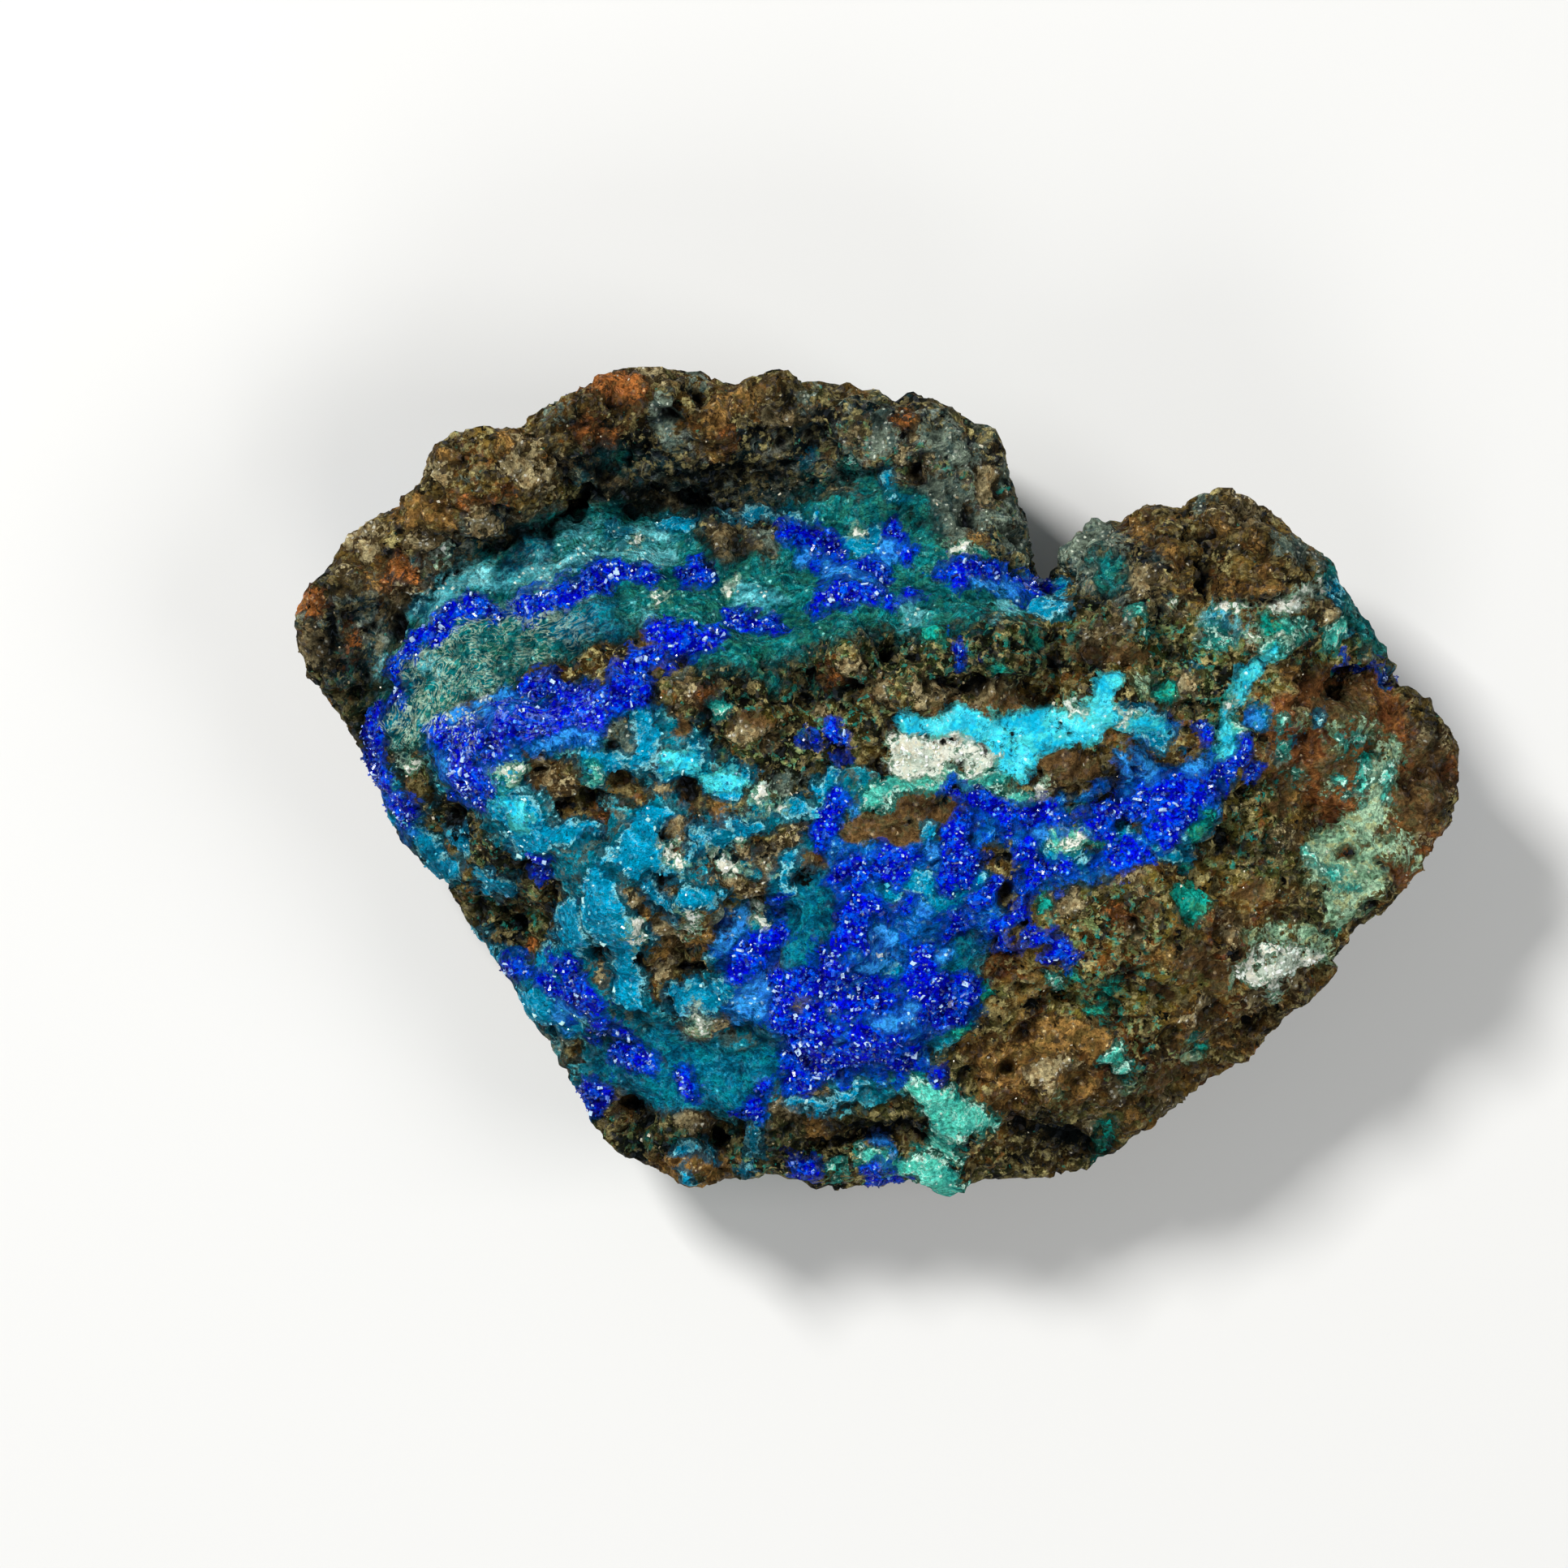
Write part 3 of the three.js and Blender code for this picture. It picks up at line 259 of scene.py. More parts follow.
# Light grains of quartz and clay among the crust and the brown rock
TAN = [
    [(-17.8, 1, 0.6), (-17, 0.2, 0.6)], [(-11.4, 1, 0.4)], [(-8.8, -12, 0.7), (-9.4, -12.8, 0.5)],
    [(-4.8, -17.4, 0.6), (-3.6, -16.6, 0.5)], [(-13.2, -16.4, 0.5)], [(-9.6, -17.6, 0.5)],
    [(-4.6, -9.9, 0.5), (-3.6, -11.2, 0.4)], [(-22, 3.8, 0.7), (-21, 4.4, 0.7), (-20, 3.6, 0.6)],
    [(-8.6, 9.8, 0.5), (-7.4, 10.2, 0.4)], [(-11.8, 9.4, 0.5)], [(9, -0.2, 0.5)],
    [(2.6, 5, 0.4), (6.6, 5, 0.4)], [(-1, 6.2, 0.4)], [(0.2, 4.6, 0.3)], [(-2.8, 3.8, 0.4)],
    [(-24.2, -3.4, 0.4)], [(-14.4, -9.6, 0.4)], [(-11.2, 0, 0.35)],
    [(-10.4, -2.6, 0.4), (-10.3, -3.3, 0.3)], [(-6.9, -3.5, 0.35)],
    [(-5.6, -3.9, 0.5), (-5.6, -4.5, 0.4)],
    [(-7.4, -4.9, 0.3), (-6.4, -5.4, 0.5), (-6.4, -6.1, 0.4)], [(-12.6, -5.9, 0.35)],
    [(-11, -7.4, 0.5), (-10.6, -7.9, 0.4)], [(-8.6, -5, 0.2)], [(-4.6, -2.7, 0.4)],
    [(-10.6, -5.4, 0.3)], [(-11.3, -9.8, 0.4)], [(-29.7, 7.5, 0.7), (-29.6, 6.8, 0.5)],
    [(-27, 13.2, 0.7), (-26.6, 12.3, 0.5)], [(-23, 16.6, 0.5)],
    [(-19.2, 16.9, 0.5), (-18, 16.2, 0.6), (-17.6, 15.8, 0.4)],
    [(-17.4, 17.4, 0.6), (-16.6, 16.6, 0.4)], [(-18.6, 13.8, 0.3), (-17.4, 14.6, 0.35)],
    [(-23.8, 12.6, 0.5)], [(-24.6, 10.3, 0.25), (-25.4, 9.2, 0.25)], [(-27.8, 10.8, 0.25)],
    [(-23.3, 11.7, 0.3)], [(-20.9, 14.2, 0.4)], [(-19.2, 7, 0.3)], [(-14, 15.8, 0.5)],
    [(-11.7, 21.3, 0.5)], [(-5.6, 19.5, 0.5), (-4.8, 19.5, 0.3)],
    [(-11.6, 14.8, 0.2), (-10.5, 15.1, 0.25)], [(-8, 13.2, 0.3)], [(-7.8, 11.6, 0.3)],
    [(-5.6, 13.3, 0.25)], [(-1.6, 16, 0.4), (-0.6, 15, 0.4), (0.2, 16.2, 0.3)],
    [(2.4, 16.3, 0.4)], [(1.4, 17.4, 0.4)], [(5.6, 16.6, 0.5), (5.8, 14.9, 0.3)],
    [(-2.2, 13.7, 0.3), (-1.1, 13.6, 0.25)], [(1.4, 11.6, 0.4)], [(-6.4, 12.4, 0.4)],
    [(18.8, -7.6, 0.4)],
    [(18.8, -10.4, 0.5), (19.6, -9.2, 0.7), (20.6, -8.3, 0.6), (21.6, -9, 0.7), (21.8, -10, 0.6),
     (20.4, -10.2, 0.7)], [(19.9, -11.5, 0.2)], [(12.8, -16, 0.4)], [(15.2, -16.6, 0.25)],
    [(11.4, -17.8, 0.3)], [(13.8, -8, 0.3)], [(21.8, -7.2, 0.3)], [(15.6, 9.3, 0.5)],
    [(18.4, 14.4, 0.4), (19.8, 14.1, 0.5)], [(19.8, 7.9, 0.15)],
    [(20.2, 7.1, 0.08), (22, 7.8, 0.1)], [(23.6, 9.4, 0.3)], [(23.6, 8.4, 0.25)],
    [(12.8, 8.2, 0.3), (11.4, 7.8, 0.3)], [(14, 10.6, 0.6)], [(22.6, 3.8, 0.3)],
    [(21.4, -2.8, 0.3)], [(29.2, 2.6, 0.5)], [(29.4, -0.6, 0.5)], [(28.6, -2.2, 0.3)],
    [(22, 0.4, 0.3)], [(24.8, 4.8, 0.3)], [(18.2, 9.4, 0.15), (19.2, 9.7, 0.18)],
    [(20.2, 9.2, 0.15), (22.4, 9.5, 0.18), (23, 10, 0.2)],
    [(15.6, 3.9, 0.2), (16.3, 4.8, 0.2), (16.5, 5.6, 0.15)],
    [(9.4, -6.4, 0.3), (10.8, -6.2, 0.25)], [(13.6, -5.4, 0.3)],
    [(8.6, -15.2, 0.4), (10.2, -14.6, 0.3)], [(-1, 18.3, 0.2)], [(22.6, -8, 0.3)],
    [(16.6, -12.2, 0.25), (17.6, -11.6, 0.2)], [(-7, 2.8, 0.35)], [(-5.6, 2.4, 0.3)],
    [(-9.6, 5, 0.3)],
]
# Ground where grains of teal and pale green lie among the brown
GREENISH_AREAS = [
    [(17.4, 0.2), (20.4, 0.6), (22.2, -1.4), (21.6, -4.8), (18.6, -5.4), (17.2, -3)],
    [(-13, 2), (-8, 6.4), (0, 8.6), (8, 9.4), (19, 9.4), (24, 8.8), (26, 6.4), (22.6, 5.6),
     (21.4, 1), (19, 1), (16, 4.4), (9, 5), (2, 4.6), (-2, 0.6), (-12, 0.2)],
    [(7.4, -5.6), (14, -4.6), (17, -5.8), (15.6, -8.6), (15.6, -12.6), (14.4, -15.6),
     (10.6, -15.4)], [(22, 3.4), (25.6, 3.6), (24.6, 0.4), (22, -1.4), (20.8, 1)],
    [(-17, -13.6), (-12, -17.4), (-6, -17.8), (3, -19.4), (-2, -21.2), (-9, -21.2),
     (-14.6, -18.6)], [(2, 13), (7.6, 12.4), (7.4, 16), (3, 18.6), (-2.6, 19.4), (-4, 16.8)],
    [(-29.6, 6), (-26.4, 3), (-26.6, 6.6), (-28.4, 8.4)],
    [(-24, 1), (-17, -6), (-17.4, -9.4), (-21, -7.6)],
]
# Streaky olive and ochre rock of the far right lobe
OLIVE_AREAS = [
    [(9.5, 10.8), (12, 13.8), (14.4, 15), (17, 17.2), (19.4, 16.4), (24.4, 11.6), (22.4, 10),
     (17.4, 9.2), (14, 9.4)], [(28.2, 4.6), (31.5, 3), (31.5, -2), (29, -3.4), (28.2, -0.6)],
    [(-28, 13.8), (-23.6, 15.2), (-23.6, 18.4), (-18, 18.8), (-16, 16), (-19, 13.2), (-28, 10.4)],
    [(18, 1.4), (21, 1), (21.6, -3.6), (18.4, -4.8), (17.4, -1.6)],
]
# Red-brown smoother rock of the right end
RED_AREAS = [
    [(20.8, 4.4), (23, 6), (26, 5.6), (28.6, 3.6), (30.6, 1.4), (29.6, -2.6), (27.6, -5),
     (25, -4.4), (24, -2), (20.6, 0.6), (20.4, 2.4)],
]
# Smooth hollow at the lower left
HOLLOW_AREAS = [
    [(-14.5, -13.5), (-11.5, -12.6), (-7, -14.2), (-5.5, -13.3), (-4.6, -14.5), (-5.3, -15.4),
     (-7.5, -17), (-12, -17), (-13, -16), (-14.5, -15.2)],
    [(-20.2, -8.6), (-16.2, -10.6), (-16, -12.6), (-17.8, -12.8), (-19.6, -10.4)],
    [(-17.8, 8.3), (-15.8, 9.2), (-13.6, 9.6), (-13.6, 8.2), (-16, 7.5)],
    [(-5.6, -4.6), (-2.6, -4.4), (-2.4, -9.4), (-4.6, -9.8)],
    [(2.6, -8.2), (5.2, -7.8), (5.4, -9.4), (3.6, -10.4), (2.8, -9.6)],
    [(-19.8, 11), (-18.6, 12.8), (-17.2, 12.8), (-17.6, 11.4)],
    [(-25, 6.2), (-24, 5.4), (-24.6, 3), (-25.8, 2.6), (-25.6, 4.6)],
]

# White and very pale green parts
PALE = [
    [(1.6, 0.9, 0.5), (1.8, 1.5, 0.65), (3.3, 1.7, 0.75), (4.3, 1.6, 0.7), (5.5, 1.2, 0.5)],
    [(13, 3.4, 0.12)], [(10.7, 4.1, 0.14)], [(8.6, -0.3, 0.3)],
    [(10.3, -2.8, 0.1), (11.2, -2.8, 0.1)], [(-22, 3.9, 0.25), (-22.3, 3.4, 0.2)],
    [(-11.6, 9.7, 0.12)], [(-7.7, 10.35, 0.1)], [(-19, 0.8, 0.25)], [(-9.2, -12.3, 0.3)],
    [(-24.6, 1.2, 0.15)], [(0.2, -8.8, 0.2)], [(-2.4, -11.9, 0.15)],
    [(-8, -4.1, 0.3), (-7.4, -4.4, 0.35)], [(-6.3, -0.4, 0.15), (-6.2, -1.1, 0.12)],
    [(-10, -6.8, 0.25), (-9.8, -7.2, 0.25)], [(-11.2, -3.1, 0.05), (-10.3, -4.1, 0.1)],
    [(-8.7, -3.5, 0.1)], [(-6.7, -3.1, 0.08)], [(-6.7, -7.2, 0.15)],
    [(-6, -6.8, 0.15), (-5.9, -7.4, 0.15)], [(-12.9, -7.5, 0.08), (-12.6, -8.2, 0.08)],
    [(-5.1, -1.2, 0.1)], [(4, 12.2, 0.12), (5.2, 12, 0.1)], [(-12.6, 12.6, 0.1)],
    [(-1, 13.5, 0.05)], [(-22.8, 11.8, 0.05)], [(15.6, 9.5, 0.05)], [(18.6, 9.6, 0.02)],
    [(21.4, 9.4, 0.02)], [(-5.6, -4.1, 0.1)],
    [(18.8, -10, 0.15), (20.4, -8.8, 0.25), (21.8, -8.8, 0.2)],
    [(20, -9.9, 0.25), (21.6, -9.6, 0.4), (22.8, -9.2, 0.2)], [(21, -10.6, 0.25)],
    [(2, 2, 0.4), (1.4, 2.2, 0.3)], [(18.8, 4.1, 0.25)], [(18.3, 9.3, 0.1), (19.6, 9.35, 0.1)],
    [(20.6, 9.1, 0.1), (22.2, 9.4, 0.12)], [(22.6, 10.2, 0.15), (23.3, 10.4, 0.1)],
    [(19.6, 7.7, 0.05), (21.4, 7.7, 0.08)], [(-20.3, 4.4, 0.05)],
    [(-21.8, 3.6, 0.3), (-21.2, 3.3, 0.2)], [(-0.2, -8.6, 0.05)], [(-1.3, -10.6, 0.1)],
]
PALE_GAPS = [
    [(4.5, 1, 0.3)],
]

# Darker teal of the banded shelf and the smooth hollow
TEAL_AREAS = [
    [(-26.8, 3.5), (-24.6, 9), (-21, 12), (-19, 12.6), (-14.5, 14.8), (-11, 14.2), (-9.8, 14.5),
     (-9.3, 13), (-8, 11.5), (-5.4, 11.6), (-4.4, 14.6), (0, 15.2), (2.6, 13.6), (4.4, 11.8),
     (8, 10.8), (9.3, 9.6), (9.3, 8.8), (6, 8.8), (2.5, 7.7), (0, 8.3), (-7, 6), (-9, 6.3),
     (-12, 8.5), (-17.5, 6.5), (-19.5, 4.6), (-22, 4.6), (-24, 2), (-25.5, 2)],
]
TEAL = [
    [(-4, 10.3, 0.8)], [(4.5, 9.5, 0.8)], [(-14, 9, 1)], [(-10.5, 9.6, 1)],
    [(-18, 13.4, 0.5), (-14, 14.6, 0.5)], [(-13.5, 17.3, 0.6)], [(-5.2, 5.5, 0.25)],
    [(-8.3, 3.9, 0.35)], [(15.2, 5.1, 0.4)], [(24.4, 11, 0.6), (26.4, 7.4, 0.6)],
    [(12.2, 11.4, 0.4), (12.6, 10.6, 0.35)], [(-3.8, 16.6, 0.2)],
    [(-1.6, 16.4, 0.4), (2, 14.4, 0.5)], [(-3.6, 14.6, 0.4), (-1, 14.4, 0.6), (0.8, 13.8, 0.5)],
    [(2.4, 13.3, 0.5)],
]

# Pale bands and fibrous patches on the shelf
BAND = [
    [(-12, 8.8, 0.4)], [(-13.2, 13.5, 0.2), (-11, 12.5, 0.2)],
    [(-6.8, 9.8, 0.6), (-5.4, 9.6, 0.5)], [(6.8, 9.2, 0.6)], [(1.8, 8.8, 0.6)],
    [(-24.2, 9.2, 0.5), (-21.8, 10.6, 0.8), (-21, 11, 0.5)], [(-22.6, 9.6, 0.4)],
    [(-23.4, 6.2, 0.5)], [(-18.6, 9, 0.3)], [(-26.2, 6, 0.3)], [(-15.2, 13, 0.4)],
    [(-12.4, 12.6, 0.4)], [(-16.4, 13, 0.3), (-14.4, 13.6, 0.35), (-12.6, 13.3, 0.3)],
    [(18, 8.6, 0.5), (19, 8.9, 0.4)], [(18.7, 7.9, 0.2)],
    [(-23.4, 9.9, 0.6), (-21.6, 10.6, 0.7), (-19.6, 10.7, 0.55), (-17.6, 11.1, 0.65),
     (-15.2, 11.9, 0.7), (-13, 12.2, 0.6), (-11.2, 12, 0.4)],
]

# Pale green malachite coat at the right end
COAT_AREAS = [
    [(26.5, 2.5), (27.8, 2.2), (27, -1), (27, -4), (26.5, -6), (24, -7), (22.3, -4), (23, -2.8),
     (24.5, -2.4), (25.3, -1.5), (25.6, 0.2)],
]
COAT = [
    [(14.2, 5, 0.4)], [(-14.8, 0.6, 0.4)], [(9.6, -16.4, 0.3)], [(16.6, -14.2, 0.35)],
    [(13.6, -15.8, 0.3)], [(24.2, 2.1, 0.15)], [(22.4, -7.6, 0.4), (23.2, -8.2, 0.4)],
    [(19.6, -8, 0.3), (21.4, -7.6, 0.3)], [(23.6, -9, 0.3)], [(25.8, 2.8, 0.4)],
    [(27.6, -2.4, 0.3), (27.4, -3.6, 0.4)], [(24.2, 0.2, 0.25)], [(24.2, 3, 0.25)],
    [(22.8, 3.4, 0.15)], [(21, -8, 0.3)],
]
COAT_GAPS = [
    [(24.9, -3.6, 0.45)], [(26.7, -4.5, 0.3)], [(26.3, -3.2, 0.2)], [(25.7, -4.9, 0.15)],
    [(25.3, -6.8, 0.4)], [(24.1, -7.7, 0.2)], [(22.1, -3.1, 0.3)], [(23.8, -1.6, 0.6)],
    [(25.9, -0.2, 0.2)], [(24.6, -5.6, 0.25)], [(26.9, -2.6, 0.2)], [(23.4, -5.2, 0.2)],
    [(25, -2.2, 0.15)], [(26.6, 1.6, 0.2)],
]

# Orange iron stains
RUST = [
    [(-9.2, 4.6, 0.35)], [(-18, -8.4, 0.3)], [(-14.4, -1.6, 0.25)], [(-2.2, 6, 0.3)],
    [(-8.4, -4.4, 0.3)], [(-10.4, -3.5, 0.15)], [(-29.9, 9.8, 0.45)],
    [(-27.6, 7.9, 0.2), (-27.6, 7.2, 0.25)], [(-24.8, 11.4, 0.45)], [(-25.4, 10.6, 0.2)],
    [(-21.4, 14.9, 0.25)], [(-20.5, 15.3, 0.2)], [(-19.4, 15.8, 0.25)], [(1.2, 19.1, 0.2)],
    [(18.2, -7.3, 0.2)], [(23.8, 1, 0.3)], [(24.9, -3.5, 0.4)], [(26.7, -4.6, 0.25)],
    [(4.5, 1, 0.15)], [(-15.2, 18.9, 0.15)], [(-14.3, 18.2, 0.45), (-13.8, 17.6, 0.3)],
    [(-14.6, 20.9, 0.45), (-12.4, 20.9, 0.5)], [(-8, 18.4, 0.15)],
    [(12.4, -6.7, 0.1), (13.4, -7.3, 0.1)], [(15.8, -14.9, 0.2)],
]
# Golden tan stains
OCHRE = [
    [(-17, 0, 0.5)], [(-13, -17, 0.5)], [(9.6, -13.4, 0.6), (7, -14.4, 0.7), (10.6, -15.6, 0.6)],
    [(-9.5, -17.9, 0.5)], [(-11, -20.2, 0.5), (-9.5, -20.1, 0.7), (-8.2, -20, 0.5)],
    [(-3, -18, 0.5)], [(7, -14.7, 0.4), (8.4, -14.9, 0.5)], [(-8.4, -1, 0.4), (-7.9, -1.7, 0.45)],
    [(-9.2, -7.8, 0.5)], [(-11, -8.7, 0.5), (-10.9, -9.3, 0.3)], [(-6.8, -3.8, 0.2)],
    [(-12.2, -6.6, 0.3)], [(-22.3, 17.4, 0.4)], [(-24.4, 14.2, 0.6)], [(-19.4, 17.9, 0.5)],
    [(-26.2, 10.6, 0.4)], [(-22.6, 14.3, 0.35)], [(-26.9, 12.7, 0.4)], [(-12.8, 20.6, 0.4)],
    [(1.5, 19.1, 0.35)], [(-7.6, 10.3, 0.15), (-7, 10.4, 0.15)], [(5.2, 12.7, 0.25)],
    [(20.4, 7.6, 0.2), (21.8, 7.5, 0.2)], [(22, 6.2, 0.3)], [(18.3, -7.4, 0.4)],
    [(20.4, -7.2, 0.5)], [(22, -3.1, 0.35)], [(21.7, -0.8, 0.35)], [(9.8, -13.6, 0.6)],
    [(9.6, -16.4, 0.5)], [(21.7, -11, 0.2)], [(18.6, -13.6, 0.4)], [(28.8, 1.2, 0.4)],
    [(24.4, 1.2, 0.6)], [(25.6, 4.2, 0.6)], [(28.4, -1.4, 0.5)],
    [(5.6, -14.4, 0.5), (8, -15.4, 0.8), (11, -15.8, 0.7)], [(7, -16.8, 0.5)],
    [(9, -13.2, 0.5), (11.6, -13.6, 0.5)], [(15.4, -9, 0.4)],
    [(-8.6, 19.4, 0.35), (-8.4, 18.4, 0.4)], [(-8.6, 17.6, 0.3)], [(-6.8, 20.4, 0.35)],
    [(13.8, 13.6, 0.15), (15.8, 11.9, 0.1)], [(17.8, 13.3, 0.15), (20.2, 13.1, 0.15)],
    [(18.2, 10.4, 0.2), (21.2, 10.2, 0.2)], [(20.8, 11.6, 0.2)],
    [(14.8, -16, 0.4), (13.4, -17, 0.4)],
]

# Smooth chocolate and red-brown lenses
CHOCOLATE = [
    [(8.6, 0.9, 0.7), (9.8, 0.9, 0.8), (11, 0.7, 0.5)], [(13.5, 2.2, 0.45)],
    [(2.9, 4.2, 0.5), (4, 4.1, 0.5), (5.3, 3.7, 0.4), (6, 4.4, 0.5), (7, 4.6, 0.5),
     (8.3, 4.1, 0.4)], [(2.7, -4.5, 0.25)], [(1.9, -5.4, 0.15), (0.9, -6.3, 0.15)],
    [(24.5, 3.8, 1.5)], [(24.3, 1.4, 1.2)], [(28.5, -1, 1.4)], [(27.7, 0, 0.4)], [(29, 1.6, 1)],
    [(21.8, 0.6, 0.8)], [(21.2, -1.2, 0.6)], [(-10.2, 3, 0.6)], [(-6.4, 3.4, 0.6)],
    [(-3.8, -3.9, 0.5), (-2.9, -4, 0.4)], [(-9.8, -1, 0.5)], [(14.6, 14.2, 0.4)],
    [(25.6, 7.8, 0.35)], [(14.4, -6.6, 0.5)], [(16.4, -10, 0.5)], [(19.8, -5.4, 0.5)],
    [(-2.6, 17.2, 0.3)], [(22.8, -8, 0.4)], [(4.5, 1, 0.4)], [(18, -9.6, 0.6), (16, -9.2, 0.4)],
    [(11, 6.9, 0.5), (12.6, 6.9, 0.6), (13.8, 6.8, 0.4)], [(13.4, 2.5, 0.4)],
    [(14.6, -16, 0.35), (16, -14.8, 0.4)], [(16.8, -8.6, 0.4), (18.2, -10.6, 0.5)],
    [(15.2, -10.8, 0.5)], [(17.4, -12.4, 0.3)],
]
CHOCOLATE_AREAS = [
    [(-1.9, -2.4), (-0.3, -1.4), (3.3, -0.1), (4.9, -1), (4.2, -1.8), (1.5, -3.3), (0.2, -3),
     (-1, -3.5)],
]

# Blue-grey and grey-green rock
GREY = [
    [(-17.2, 20.2, 0.8)], [(-13.2, 2.2, 0.9)], [(-10.4, 5.6, 0.6)], [(-16.4, -13.2, 0.6)],
    [(-5.6, -0.2, 0.5), (-4, 0, 0.5)], [(-8, -7.2, 0.7)], [(-13.2, -2.2, 0.5)],
    [(-21.8, 13.8, 0.4)], [(-21.6, 15.8, 0.4)], [(-16.8, 17.6, 0.4)],
    [(-11.2, 19.9, 0.7), (-11.2, 19.1, 0.6)], [(-9.6, 20.8, 0.5)], [(-10.4, 18.1, 0.5)],
    [(-6.5, 19.3, 0.3)], [(-10.7, 16.2, 0.25)], [(-6, 13, 0.5), (-5.2, 12, 0.5)],
    [(2.6, 15.4, 0.9), (3.8, 14.6, 1.3), (5, 13.8, 1.1)], [(6.6, 13.8, 0.6)],
    [(2.6, 13.2, 0.8), (3.6, 12.8, 0.6)], [(4, 12.3, 0.35), (5.4, 12.1, 0.3)],
    [(3.2, 17.4, 0.5), (4.6, 17.2, 0.5)], [(-1.2, 17.2, 0.5)], [(1.8, 11.5, 0.5)],
    [(10.4, 12.4, 0.8), (11.8, 13.2, 0.8), (12.6, 12.4, 0.6)], [(11.6, 11.2, 0.7)],
    [(13.6, 10.8, 0.6)], [(15.6, 9.3, 0.5)], [(17.4, 15, 0.5)], [(13.4, 8.4, 0.5)],
    [(17.4, 8.2, 0.4)], [(25.4, 9.6, 0.4), (26.2, 7, 0.5)], [(21, 1.6, 0.4)],
    [(21.6, 12.6, 0.35), (24, 10.8, 0.3)], [(0.1, 19.1, 0.5), (0.4, 18.4, 0.5)],
    [(-3.7, 20.2, 0.3)], [(-1, 18.2, 0.5)], [(2, 18.6, 0.4)], [(6.4, 16.2, 0.5)],
    [(5.2, 15.2, 0.6)], [(3, 18.3, 0.5), (4.8, 17.6, 0.4)], [(-5.4, 19.4, 0.5)],
    [(5.4, 17.8, 0.3), (4.6, 16.7, 0.3)], [(7.4, 14.8, 0.4)], [(7, 12.9, 0.5), (7.9, 12.2, 0.4)],
]

